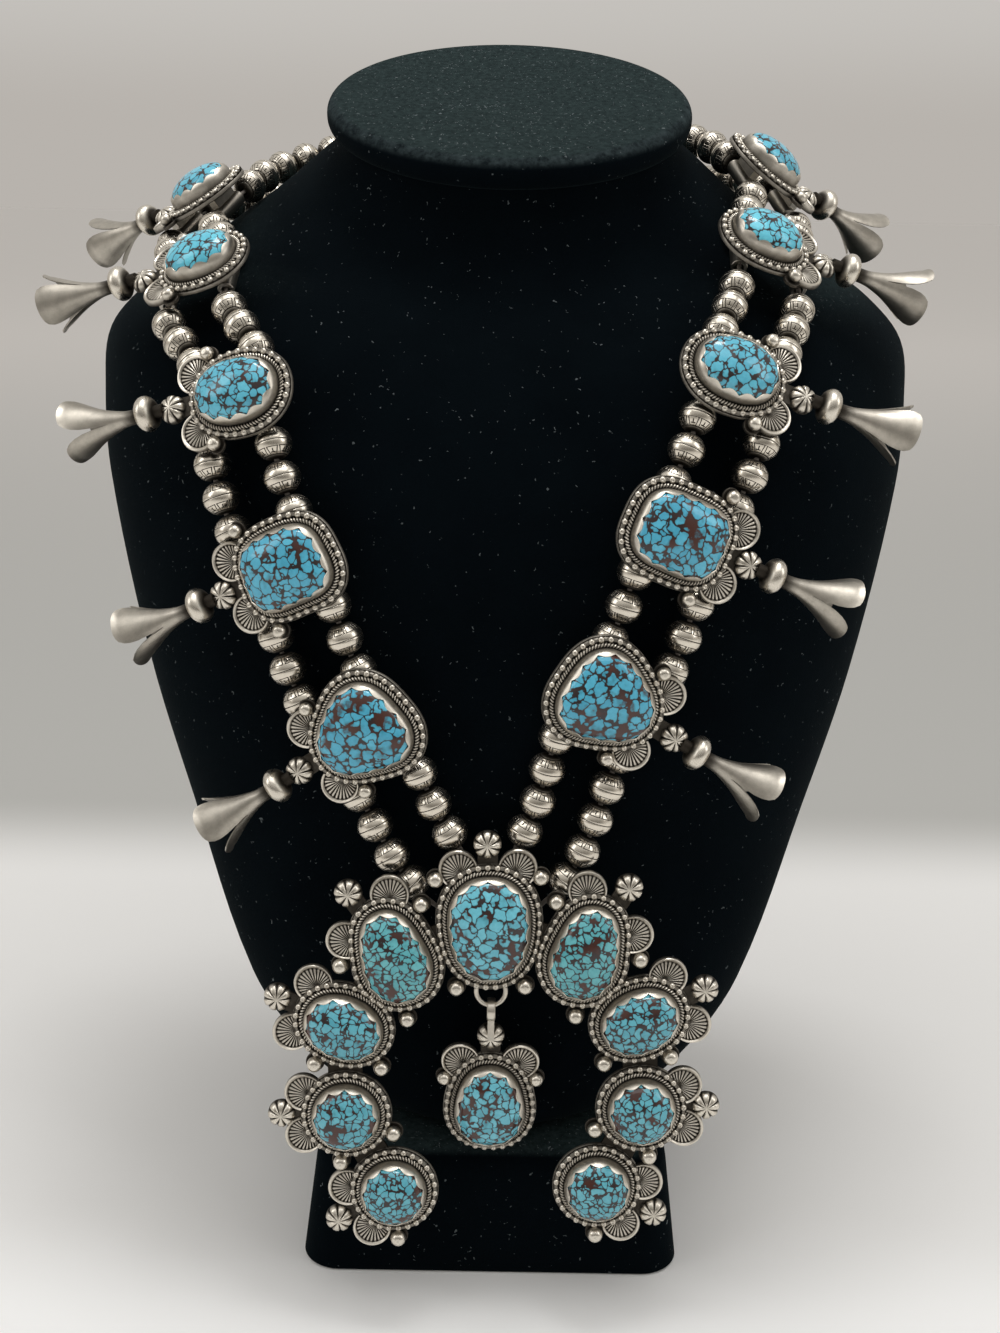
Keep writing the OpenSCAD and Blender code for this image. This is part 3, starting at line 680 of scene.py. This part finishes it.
class Nodes:
    """Makes and links the shader nodes of a material or of the world."""

    def __init__(self, owner):
        owner.use_nodes = True
        self.owner = owner
        self.tree = owner.node_tree

    def put(self, socket, value):
        """Links a socket to an input, or sets it to a number, a colour or a vector."""
        if isinstance(value, bpy.types.NodeSocket):
            self.tree.links.new(value, socket)
        elif socket.type == "RGBA":
            socket.default_value = (*value, 1)
        else:
            socket.default_value = value

    def set(self, node, *inputs, **values):
        """Gives a node its settings and inputs by name, and its first inputs in order."""
        for key, value in values.items():
            if hasattr(node, key):
                setattr(node, key, value)
            else:
                self.put(node.inputs[key.replace("_", " ")], value)
        for socket, value in zip(node.inputs, inputs):
            self.put(socket, value)
        return node.outputs

    def add(self, kind, *inputs, **values):
        return self.set(self.tree.nodes.new("ShaderNode" + kind), *inputs, **values)

    def math(self, operation, *inputs, clamp=False):
        return self.add("Math", *inputs, operation=operation, use_clamp=clamp)[0]

    def step(self, value, low, high):
        """Smooth rise from 0 to 1 while value goes from low to high."""
        return self.add("MapRange", value, low, high, interpolation_type="SMOOTHSTEP")[0]

    def mix(self, share, a, b):
        node = self.tree.nodes.new("ShaderNodeMix")
        node.data_type = "RGBA"
        for i, value in ((0, share), (6, a), (7, b)):
            self.put(node.inputs[i], value)
        return node.outputs[2]

    def noise(self, at, scale, detail, roughness, output="Fac"):
        return self.add("TexNoise", Vector=at, Scale=scale, Detail=detail, Roughness=roughness)[output]

    def warped(self, at, scale, detail, far):
        """The place at, moved by up to far each way by a soft noise."""
        noise = self.noise(at, scale, detail, 0.5, "Color")
        return self.add("VectorMath", noise, (far,) * 3, at, operation="MULTIPLY_ADD")[0]

    def bump(self, height, strength, distance, **values):
        return self.add("Bump", Height=height, Strength=strength, Distance=distance, **values)[0]

    def millimetres(self, shift=(0, 0, 0)):
        """Object coordinates in millimetres."""
        place = self.add("TexCoord")["Object"]
        return self.add("Mapping", Vector=place, Location=shift, Scale=(1 / MM,) * 3)[0]

    def finish(self, **values):
        """Sets the material's shader and returns the material."""
        self.set(self.tree.nodes["Principled BSDF"], **values)
        return self.owner


def silver(name, bright, dark, polish, stamped=False):
    """Silver with black oxide where the tarnish attribute says, wiped off what stands proud."""
    net = Nodes(bpy.data.materials.new(name))
    mm = net.millimetres()
    tarnish = net.add("Attribute", attribute_name="tarnish")["Fac"]
    wiped = net.math("MULTIPLY_ADD", net.noise(mm, 0.45, 4, 0.6), 0.32, -0.14)
    grain = net.noise(mm, 6, 3, 0.65)
    level = net.math("ADD", tarnish, wiped, clamp=True)
    if stamped:
        cut = stamp_pattern(net)
        level = net.math("MAXIMUM", level, cut)
    level = net.math("ADD", level, net.math("MULTIPLY_ADD", grain, 0.16, -0.08), clamp=True)
    relief = net.bump(grain, 0.10, 0.00004)
    if stamped:
        relief = net.bump(cut, 0.6, 0.00008, Normal=relief, invert=True)
    return net.finish(Base_Color=net.mix(net.step(level, 0.0, 0.9), bright, dark),
                      Roughness=net.add("MapRange", level, 0, 1, polish, 0.62)[0], Metallic=1.0, Normal=relief)


def stamp_pattern(net):
    """Eight stamped teeth round each end of a bead, each an outlined wedge with a short bar in it.

    bead_way holds a point's direction from its bead's middle, with Z along the thread."""
    teeth = 8
    x, y, z = net.add("SeparateXYZ", net.add("Attribute", attribute_name="bead_way")["Vector"])
    tooth = net.math("MULTIPLY", net.math("ARCTAN2", y, x), teeth / (2 * math.pi))
    tooth = net.math("FRACT", net.math("ADD", tooth, teeth))
    across = net.math("ABSOLUTE", net.math("SUBTRACT", tooth, 0.5))
    lat = net.math("ABSOLUTE", z)

    def line(value, centre, half):
        return net.step(net.math("ABSOLUTE", net.math("SUBTRACT", value, centre)), half, half * 0.45)

    def within(value, low, high):
        return net.math("MULTIPLY", net.math("GREATER_THAN", value, low), net.math("LESS_THAN", value, high))

    slant = net.math("ADD", across, net.math("MULTIPLY", lat, 0.22))
    bar = net.math("MULTIPLY", line(across, 0.0, 0.065), within(lat, 0.52, 0.72))
    cut = net.math("MULTIPLY", net.math("MAXIMUM", line(slant, 0.50, 0.055), bar), within(lat, 0.40, 0.84))
    foot = net.math("MULTIPLY", line(lat, 0.41, 0.026), within(slant, -0.1, 0.55))
    head = line(lat, 0.82, 0.026)
    cross_bar = net.math("MULTIPLY", line(lat, 0.70, 0.028), within(across, -0.1, 0.22))
    seam = line(lat, 0.0, 0.032)
    for more in (foot, head, cross_bar, seam):
        cut = net.math("MAXIMUM", cut, more)
    return cut


STONE_TINTS = {
    "blue": ((0.058, 0.350, 0.520), (0.130, 0.570, 0.770)),
    "bright": ((0.078, 0.390, 0.550), (0.168, 0.640, 0.810)),
    "sky": ((0.090, 0.460, 0.620), (0.200, 0.740, 0.900)),
    "pale": ((0.080, 0.350, 0.450), (0.180, 0.570, 0.670)),
    "light": ((0.100, 0.410, 0.520), (0.220, 0.670, 0.800)),
    "green": ((0.080, 0.360, 0.415), (0.190, 0.590, 0.630)),
}


def turquoise(name, cell, matrix, tint, seed):
    """Turquoise in round-cornered cells, parted by thin brown lines that swell into patches.

    cell is the cells' size in millimetres, matrix how much of the stone is patches, 0 to 1."""
    net = Nodes(bpy.data.materials.new(name))
    mm = net.millimetres((seed * 7.3, seed * 3.1, seed * 11.7))
    bent = net.warped(mm, 0.42, 2, 2.8)
    cells = net.add("TexVoronoi", feature="F1", Vector=bent, Scale=1 / cell)
    soft = net.add("TexVoronoi", feature="SMOOTH_F1", Vector=bent, Scale=1 / cell, Smoothness=0.6)
    edge = net.math("SUBTRACT", cells["Distance"], soft["Distance"])
    patch = net.step(net.noise(mm, 0.24, 2.5, 0.55), 0.62 - 0.26 * matrix, 0.80 - 0.26 * matrix)
    limit = net.math("MULTIPLY_ADD", patch, -0.052, 0.015 + 0.0155 * cell)
    ragged = net.math("MULTIPLY_ADD", net.noise(mm, 1.6, 3, 0.6), 0.018, -0.009)
    over = net.math("SUBTRACT", edge, net.math("ADD", limit, ragged))
    web = net.step(over, -0.010, 0.005)

    per_cell = net.math("MULTIPLY_ADD", net.add("SeparateColor", cells["Color"])[0], 0.5, -0.25)
    blend = net.math("MULTIPLY_ADD", net.noise(mm, 1.1, 4, 0.65), 0.9, per_cell)
    sky = net.mix(blend, *STONE_TINTS[tint])
    sky = net.mix(net.math("MULTIPLY", net.step(over, -0.05, 0.0), 0.50), sky, (0.030, 0.150, 0.190))
    brown = net.mix(patch, (0.030, 0.021, 0.021), (0.066, 0.023, 0.016))
    return net.finish(Base_Color=net.mix(web, sky, brown), Roughness=0.14, IOR=1.48, Coat_Weight=0.2,
                      Coat_Roughness=0.05, Normal=net.bump(web, 0.2, 0.00004, invert=True))


def velvet(name, pale_edges=False):
    """Near-black pile, paler on what faces up, partly settled dust and partly painted light from above, with
    specks of lint all over.

    Where asked, it is also paler in ragged patches along edges that face up and out."""
    net = Nodes(bpy.data.materials.new(name))
    mm = net.millimetres()
    base = net.mix(net.noise(mm, 0.05, 5, 0.6), (0.0006, 0.0016, 0.0026), (0.0024, 0.0046, 0.0064))
    up = net.add("SeparateXYZ", net.add("TexCoord")["Normal"])[2]
    # What faces up is paler: partly settled dust, partly painted light from above.
    dust_and_top_light = net.step(up, 0.72, 0.96)
    if pale_edges:
        # Paler in ragged patches along edges that face up and out.
        edge = net.math("MULTIPLY", net.step(up, 0.0, 0.55), net.step(up, 0.98, 0.80))
        pale_patch = net.math("MULTIPLY", edge, net.step(net.noise(mm, 0.40, 6, 0.75), 0.25, 0.75))
        base = net.mix(pale_patch, base, (0.036, 0.050, 0.053))
    spread = net.math("MULTIPLY_ADD", net.step(net.noise(mm, 0.8, 4, 0.7), 0.25, 0.80), 0.7, 0.3)
    base = net.mix(net.math("MULTIPLY", dust_and_top_light, spread), base, (0.028, 0.043, 0.043))
    curled = net.warped(mm, 0.9, 1, 2.4)

    def specks(scale, share, radius, strength):
        """Short curls of fibre in a share of the cells."""
        lint = net.add("TexVoronoi", feature="F1", Vector=curled, Scale=scale)
        chance = net.step(net.add("SeparateColor", lint["Color"])[0], 1 - share, 1.0)
        spot = net.math("LESS_THAN", lint["Distance"], net.math("MULTIPLY", chance, radius))
        return net.math("MULTIPLY", spot, strength)

    lint = net.math("MAXIMUM", specks(0.8, 0.30, 0.20, 0.36), specks(0.22, 0.40, 0.065, 0.60))
    lint = net.math("MAXIMUM", lint, net.math("MULTIPLY", specks(1.1, 0.60, 0.26, 0.50), dust_and_top_light))
    return net.finish(Base_Color=net.mix(lint, base, (0.22, 0.25, 0.26)), Roughness=0.95,
                      Specular_IOR_Level=0.02, Sheen_Weight=0.04, Sheen_Roughness=0.4,
                      Sheen_Tint=(0.35, 0.48, 0.50), Normal=net.bump(net.noise(mm, 3.5, 3, 0.7), 0.5, 0.0002))


def thread_material():
    net = Nodes(bpy.data.materials.new("waxed_thread"))
    twist = net.add("TexWave", Vector=net.millimetres(), Scale=1.4, Distortion=2.0, Detail=2.0)
    colour = net.mix(twist["Fac"], (0.10, 0.085, 0.07), (0.24, 0.21, 0.18))
    return net.finish(Base_Color=colour, Roughness=0.7)


SETTING_SILVER = silver("silver", (0.70, 0.648, 0.562), (0.042, 0.036, 0.029), 0.26)
BEAD_SILVER = silver("bead_silver", (0.73, 0.67, 0.575), (0.042, 0.036, 0.029), 0.21, stamped=True)
VELVET = velvet("velvet")
CAP_VELVET = velvet("cap_velvet", pale_edges=True)
THREAD = thread_material()


# The bust.

def foot_profile(r, high):
    """Heights and how far the foot's sides draw in there, round at its top edge."""
    rows = [(0, 0.6), (0.6, 0)] + [(z, 0) for z in np.linspace(4, high - r, 6)]
    return rows + [(high - r + r * math.sin(b), r - r * math.cos(b))
                   for b in np.radians(np.arange(15, 91, 15))]


def bust():
    last = len(body_form) - 1
    levels = np.concatenate([np.linspace(body_form[k, LEVEL], body_form[k + 1, LEVEL], 7)[:-1]
                             for k in range(last)] + [[body_form[last, LEVEL]]])
    turns = -180 + (np.arange(144) + 0.5) * 2.5
    body = surface([[skin(t, h) for t in turns] for h in levels], loop_v=True, caps=(True, True))
    body.make("velvet_body", VELVET, WORN, "velvet", ["bust_body"])

    top = body_form[-1]
    r, soft = cap_width / 2, 3.4
    a = np.radians(np.arange(-90, 1, 11.25))
    rows = [(0, 2.0), (0, r * 0.5)] + [(soft + soft * math.sin(b), r - soft + soft * math.cos(b)) for b in a]
    rows += [(cap_thickness - soft + soft * math.sin(b), r - soft + soft * math.cos(b))
             for b in a + math.pi / 2]
    rows += [(cap_thickness, r * 0.5), (cap_thickness, 2.0)]
    c, s = math.cos(math.radians(cap_tilt)), math.sin(math.radians(cap_tilt))
    tilted = Spot(np.array([0, top[MIDDLE] * bust_depth, top[LEVEL] * bust_height]), [1, 0, 0], [0, c, s],
                  [0, -s, c])
    cap = lathe(rows, 128, np.zeros(len(rows))).on(tilted.moved([0, 0, cap_gap]))
    cap.make("velvet_cap", CAP_VELVET, WORN, "velvet", ["bust_cap"])

    corner, rounding, high = 9.0, 5.0, foot_height
    taper, taper_depth, lean = 4, 3, 0.5
    rows = []
    for z, drawn in foot_profile(rounding, high):
        w = foot_width / 2 - taper * z / high - drawn
        d = foot_depth / 2 - taper_depth * z / high - drawn
        k = max(corner - drawn * 0.5, 3)
        rows.append([(sx * (w - k) + k * math.cos(b), lean * z / high + sy * (d - k) + k * math.sin(b), z)
                     for sx, sy, b0 in ((1, 1, 0), (-1, 1, 90), (-1, -1, 180), (1, -1, 270))
                     for b in np.radians(b0 + np.arange(0, 91, 9))])
    foot = surface(rows, loop_v=True, caps=(True, True))
    foot.make("velvet_foot", VELVET, WORN, "velvet", ["bust_foot"])


# Settings, stones, naja and drop.

STONE_LOOKS = {
    "stone_left_1": (2.6, 0.15, "bright"), "stone_left_2": (2.6, 0.0, "sky"),
    "stone_left_3": (2.2, 0.15, "bright"), "stone_left_4": (2.2, 0.45, "blue"),
    "stone_left_5": (2.5, 0.62, "blue"),
    "stone_right_1": (2.5, 0.25, "bright"), "stone_right_2": (2.4, 0.10, "sky"),
    "stone_right_3": (2.3, 0.05, "bright"), "stone_right_4": (2.3, 0.50, "blue"),
    "stone_right_5": (2.5, 0.52, "blue"),
    "naja_stone_top": (2.6, 0.55, "light"),
    "naja_stone_left_1": (2.0, 0.50, "green"), "naja_stone_right_1": (2.0, 0.50, "green"),
    "naja_stone_left_2": (1.9, 0.38, "pale"), "naja_stone_right_2": (1.9, 0.35, "pale"),
    "naja_stone_left_3": (1.8, 0.45, "pale"), "naja_stone_right_3": (1.8, 0.42, "pale"),
    "naja_stone_left_4": (1.7, 0.36, "pale"), "naja_stone_right_4": (1.7, 0.40, "pale"),
    "drop_stone": (2.0, 0.48, "light"),
}


def set_stone(node, s, spot, body=WORN):
    seed = list(STONE_LOOKS).index(node) + 1
    cell, matrix, tint = STONE_LOOKS[node]
    look = turquoise("turquoise_" + node, cell, matrix, tint, seed)
    stone(s).on(spot).make("turquoise_" + node, look, body, "turquoise", [node], smooth=60)


def make_settings():
    for side, name, stones, places in ((-1, "left", left_stones, left_places),
                                       (1, "right", right_stones, right_places)):
        for i, (s, place) in enumerate(zip(stones, places), 1):
            spot = skin_spot(place, side).moved([0, 0, bead_lift + plate_drop])
            node = "setting_%s_%d" % (name, i)
            setting(s, place[4]).on(spot).make("silver_" + node, SETTING_SILVER, WORN, "silver", [node])
            set_stone("stone_%s_%d" % (name, i), s, spot)


def ring(y):
    """The ring below the naja's top seat that the drop hangs on."""
    a = np.arange(48) * math.pi / 24
    b = np.arange(14) * math.pi / 7
    p = np.array([[((ring_radius + ring_wire * math.cos(q)) * math.cos(t),
                    y + (ring_radius + ring_wire * math.cos(q)) * math.sin(t),
                    ring_wire - ring_sink + ring_wire * math.sin(q)) for q in b] for t in a])
    return surface(p[:, ::-1], 0.15, loop_u=True, loop_v=True)


RING_Y = naja_seats[0][1] - rim(naja_seats[0][3], trim_width, 0)[0] - ring_gap


def make_naja():
    outlines = [(m * x, y, turn if m > 0 else 180 - turn, s if m > 0 else mirrored(s))
                for x, y, turn, s in naja_seats for m in (1, -1)]
    half = Shape()
    for k, (x, y, turn, s) in enumerate(naja_seats):
        lift = k % 2 * seat_step
        if k > 0:
            half.join(seat(s).turned(x, y, turn, lift), HERE)
            half.join(crown(s, naja_spread[k], outlines, (x, y, turn))[0], HERE.moved([0, 0, lift]))
        if k < 4:
            x1, y1 = naja_seats[k + 1][:2]
            bar = box((0, -4, 0), (math.hypot(x1 - x, y1 - y), 4, 0.95), 0.9)
            half.join(bar.turned(x, y, math.degrees(math.atan2(y1 - y, x1 - x))), HERE)
    for x, y in naja_balls:
        half.join(ball(x, y, naja_ball_radius), HERE)
    x, y, turn, s = naja_seats[0]
    middle = merge(seat(s).turned(x, y, turn), crown(s, naja_spread[0], outlines, (x, y, turn))[0],
                   ring(RING_Y),
                   *[back_tubes([0], 2 * h, 2 * h - 1).turned(0, y_tube, 90)
                     for y_tube, h in zip(naja_tubes, tube_reach)])
    out = half.on(naja_spot)
    out.join(half, naja_spot, flip=True)
    out.join(middle, naja_spot)
    out.make("silver_naja", SETTING_SILVER, WORN, "silver", ["naja_frame"])

    for k, (x, y, turn, s) in enumerate(naja_seats):
        for m in ((1,) if k == 0 else (1, -1)):
            axes = turned_axes(turn) * [m, 1, 1] @ naja_spot.axes
            spot = Spot(naja_spot.point([m * x, y, k % 2 * seat_step]), *axes)
            name = "naja_stone_top" if k == 0 else "naja_stone_%s_%d" % ("right" if m > 0 else "left", k)
            set_stone(name, s, spot)


def mirrored(s):
    return (s[0], s[1], s[2], s[3], -s[4], -s[5])


def make_drop():
    pivot = naja_spot.point([0, RING_Y - ring_radius, ring_wire - ring_sink])
    spot = Spot(pivot + [0, drop_set, 0], [0, 0, 1], [-1, 0, 0], [0, -1, 0])
    plate_part, far = lone_seat(drop_stone)
    a = np.arange(40) * math.pi / 20
    h, w = bail_width / 2, 0.2
    rows = [(-h + w, bail_hole), (-h, bail_hole + w), (-h, bail_radius - w), (w - h, bail_radius),
            (h - w, bail_radius), (h, bail_radius - w), (h, bail_hole + w), (h - w, bail_hole),
            (w - h, bail_hole)]
    p = np.array([[(-bail_low + r * math.cos(b), y, drop_set + r * math.sin(b)) for b in a] for y, r in rows])
    stem = box((drop_middle + far, -h * 0.8, 0.2),
               (-bail_low - bail_hole - 0.3, h * 0.8, drop_set + 0.6), 0.3)
    out = plate_part.on(spot.moved([drop_middle, 0, 0]))
    out.join(merge(surface(p[:, ::-1], 0.12, loop_v=True), stem), spot)
    out.make("silver_drop", SETTING_SILVER, DROP, "silver", ["drop_setting"])
    set_stone("drop_stone", drop_stone, spot.moved([drop_middle, 0, 0]), DROP)


# Strands.

def rest_point(r):
    return skin(r[0], r[1]) + (bead_lift + r[2]) * off_skin(r[0], r[1])


def side_knots(side, s):
    """One side of a strand as knots of place and heading, from the clasp down to the naja."""
    clasp_at = skin_spot(clasp_place, 1)
    up = clasp_at.axes[1]
    start = clasp_at.point([s * clasp_spread, -side * tube_length / 2, bead_lift])
    spots = [skin_spot(p, side) for p in (left_places if side < 0 else right_places)]
    x = strand_x(s)
    upper = [f.point([x, tube_length / 2, bead_lift]) for f in spots]
    lower = [f.point([x, -tube_length / 2, bead_lift]) for f in spots]
    rests = (inner_rests if s < 0 else outer_rests)[side]
    line = [start] + [rest_point(r) for r in rests] + [upper[0]]
    knots = [(start, -side * up)]
    knots += [(line[i], unit(line[i + 1] - line[i - 1])) for i in range(1, len(line) - 1)]
    for f, a, b in zip(spots, upper, lower):
        knots += [(a, -f.axes[1]), (b, -f.axes[1])]
    k = 0 if s < 0 else 1
    e = naja_entry[k]
    enter = naja_spot.point([side * e[0], e[1], -plate_drop])
    knots.append((enter, unit(side * e[2] * naja_x + e[3] * naja_y)))
    knots.append((naja_spot.point([side * tube_reach[k], naja_tubes[k], -plate_drop]), -side * naja_x))
    return knots


def bend(a, b, n):
    u = (np.arange(n) / n)[:, None]
    l = np.linalg.norm(b[0] - a[0])
    return ((2 * u**3 - 3 * u**2 + 1) * a[0] + (u**3 - 2 * u**2 + u) * l * a[1]
            + (3 * u**2 - 2 * u**3) * b[0] + (u**3 - u**2) * l * b[1])


def beads_on(p, last_run):
    """Middles and directions of the beads that fit on the line p."""
    x = run(p)
    n = int((x[-1] - 1.2) // bead_pitch)
    first = x[-1] - (n - 0.5) * bead_pitch - 0.3 if last_run else (x[-1] - (n - 1) * bead_pitch) / 2
    h = bead_length * 0.45

    def on_line(c):
        return np.array([np.interp(c, x, p[:, j]) for j in range(3)])

    ends = [(on_line(first + i * bead_pitch - h), on_line(first + i * bead_pitch + h)) for i in range(n)]
    return [((a + b) / 2, unit(b - a)) for a, b in ends]


def bead_grid():
    """One bead along Z: two domed halves with a fine seam, open at its drilled ends."""
    r, h = bead_width / 2, bead_hole / 2
    end = math.acos(h / r)
    k = np.concatenate([np.linspace(-1, -0.1, 10), [-0.045, -0.02, 0, 0.02, 0.045], np.linspace(0.1, 1, 10)])
    rad = r * np.cos(k * end)
    rad -= 0.07 * np.exp(-(k / 0.025) ** 2)
    z = bead_length / 2 * np.sin(k * end) / math.sin(end)
    rad, z = np.concatenate([[h - 0.05], rad, [h - 0.05]]), np.concatenate([[z[0] + 0.8], z, [z[-1] - 0.8]])
    a = np.arange(36) * math.pi / 18
    p = np.stack([rad[:, None] * np.cos(a), rad[:, None] * np.sin(a), z[:, None] * np.ones(36)], -1)
    way = p / np.array([r, r, bead_length / 2])
    way /= np.linalg.norm(way, axis=-1, keepdims=True)
    steep = np.clip((np.abs(way[..., 2]) - 0.72) / 0.25, 0, 1)
    steep[0] = steep[-1] = 1
    return p, way, steep


def make_beads():
    p, way, steep = bead_grid()
    for side, side_name in ((-1, "left"), (1, "right")):
        for s, strand in ((-1, "inner"), (1, "outer")):
            knots = side_knots(side, s)
            out, ways = Shape(), []
            for a, b in [(0, 3)] + [(4 + 2 * i, 5 + 2 * i) for i in range(5)]:
                line = np.concatenate([bend(knots[k], knots[k + 1], 12) for k in range(a, b)]
                                      + [[knots[b][0]]])
                for middle, along in beads_on(line, a == 12):
                    x = unit(np.cross(along, [0.3, 0.2, 1.0]))
                    spin = rng.uniform(0, 2 * math.pi)
                    y = np.cross(along, x)
                    axes = turned_axes(math.degrees(spin)) @ [x, y, along]
                    out.join(surface(p, steep, loop_v=True), Spot(middle, *axes))
                    ways.append(way.reshape(-1, 3))
            name = "beads_%s_%s" % (strand, side_name)
            o = out.make("stamped_" + name, BEAD_SILVER, WORN, "bead_silver", [name], smooth=70)
            o.data.attributes.new("bead_way", "FLOAT_VECTOR", "POINT").data.foreach_set(
                "vector", np.concatenate(ways).astype(np.float32).ravel())


def make_threads():
    for s, strand in ((-1, "inner"), (1, "outer")):
        left, right = side_knots(-1, s), side_knots(1, s)
        loop = left + [(p, -t) for p, t in reversed(right)]
        n = len(loop)
        line = np.concatenate([bend(loop[k], loop[(k + 1) % n],
                                    max(3, math.ceil(np.linalg.norm(loop[(k + 1) % n][0] - loop[k][0])
                                                     / 2.5)))
                               for k in range(n)])
        t = np.roll(line, -1, 0) - np.roll(line, 1, 0)
        t /= np.linalg.norm(t, axis=1, keepdims=True)
        out_way = line * [1, 1, 0] - [0, 0.35 * bust_depth, 0]
        e = np.cross(t, out_way)
        e /= np.linalg.norm(e, axis=1, keepdims=True)
        f = np.cross(t, e)
        b = np.arange(10) * math.pi / 5
        ply = 1 + 0.12 * np.cos(2 * b[None, :] + np.arange(len(line))[:, None] * 1.9)
        p = tube(line, e, f, b, thread_width / 2 * 0.93 * ply)
        out = surface(p, loop_u=True, loop_v=True)
        out.make("waxed_thread_" + strand, THREAD, WORN, "thread", ["thread_" + strand])


def make_clasp():
    tubes = [strand_tube(x, 0, tube_length, 0.2, 32, 0.15) for x in (-clasp_spread, clasp_spread)]
    w = clasp_spread + 2
    rows = [(w, 4.0, 1.3), (w, 4.0, 2.2), (w - 0.3, 3.7, 2.5)]
    bar = surface([[(-u, -v, z), (u, -v, z), (u, v, z), (-u, v, z)] for u, v, z in rows], 0.1, loop_v=True,
                  caps=(True, True))
    spot = skin_spot(clasp_place, 1).moved([0, 0, bead_lift])
    merge(*tubes, bar).on(spot).make("silver_clasp", SETTING_SILVER, WORN, "silver", ["clasp"])


bust()
make_settings()
make_naja()
make_drop()
make_beads()
make_threads()
make_clasp()


# Floor, light and camera.

def floor():
    """A pale table whose tone is painted light and shade: paler in front of the bust, turning to a warm grey
    shade behind it that pales again far away.
    """
    bpy.ops.mesh.primitive_plane_add(size=16)
    o = bpy.context.object
    o.name = "floor"
    net = Nodes(bpy.data.materials.new("pale_floor"))
    y = net.add("SeparateXYZ", net.add("TexCoord")["Object"])[1]
    # Painted light and shade: paler in front of the bust, a warm grey shade behind it that pales again far
    # away.
    tone = net.mix(net.step(y, -0.02, -0.07), (0.755, 0.745, 0.73), (0.86, 0.855, 0.845))
    tone = net.mix(net.step(y, 0.17, 0.25), tone, (0.412, 0.407, 0.388))
    tone = net.mix(net.step(y, 0.3, 2.2), tone, (0.785, 0.750, 0.718))
    o.data.materials.append(net.finish(Base_Color=tone, Roughness=0.6))


def area_light(name, place, target, size, power):
    data = bpy.data.lights.new(name, "AREA")
    data.shape = "RECTANGLE"
    data.size, data.size_y = size
    data.energy = power
    o = bpy.data.objects.new(name, data)
    o.location = place
    o.rotation_euler = (Vector(target) - Vector(place)).to_track_quat("-Z", "Y").to_euler()
    bpy.context.scene.collection.objects.link(o)


def lights():
    """Soft overhead light, dim towards the viewer, as in a shop."""
    world = bpy.data.worlds.new("soft_room")
    bpy.context.scene.world = world
    net = Nodes(world)
    _, y, z = net.add("SeparateXYZ", net.add("TexCoord")["Generated"])
    tone = net.mix(net.step(z, 0.02, 0.10), (0.478, 0.450, 0.418), (0.555, 0.535, 0.505))
    tone = net.mix(net.step(y, -0.35, -0.95), tone, (0.20, 0.19, 0.175))
    tone = net.mix(net.step(z, 0.1, 0.9), tone, (0.62, 0.61, 0.59))
    net.set(net.tree.nodes["Background"], Color=tone)
    middle = (0, 0, 0.15)
    area_light("key_light", (0.05, 0.10, 1.5), middle, (0.5, 0.3), 5.5)
    area_light("top_soft", (0, -0.35, 1.6), middle, (1.5, 0.9), 5.0)
    area_light("left_soft", (-1.2, -0.4, 0.9), middle, (0.5, 0.9), 2.5)
    area_light("right_soft", (1.2, -0.4, 0.9), middle, (0.5, 0.9), 2.5)


def camera():
    data = bpy.data.cameras.new("camera")
    data.sensor_fit = "VERTICAL"
    data.sensor_height = 36
    data.lens = 41.86
    data.clip_start = 0.01
    o = bpy.data.objects.new("camera", data)
    o.location = (0, -0.368, 0.263)
    o.rotation_mode = "XYZ"
    pitch, roll = math.radians(90 - 18), math.radians(1.0)
    o.matrix_world = (Matrix.Translation(o.location) @ Matrix.Rotation(pitch, 4, "X")
                      @ Matrix.Rotation(roll, 4, "Z"))
    bpy.context.scene.collection.objects.link(o)
    bpy.context.scene.camera = o


floor()
lights()
camera()
bpy.context.scene.view_settings.view_transform = "Standard"
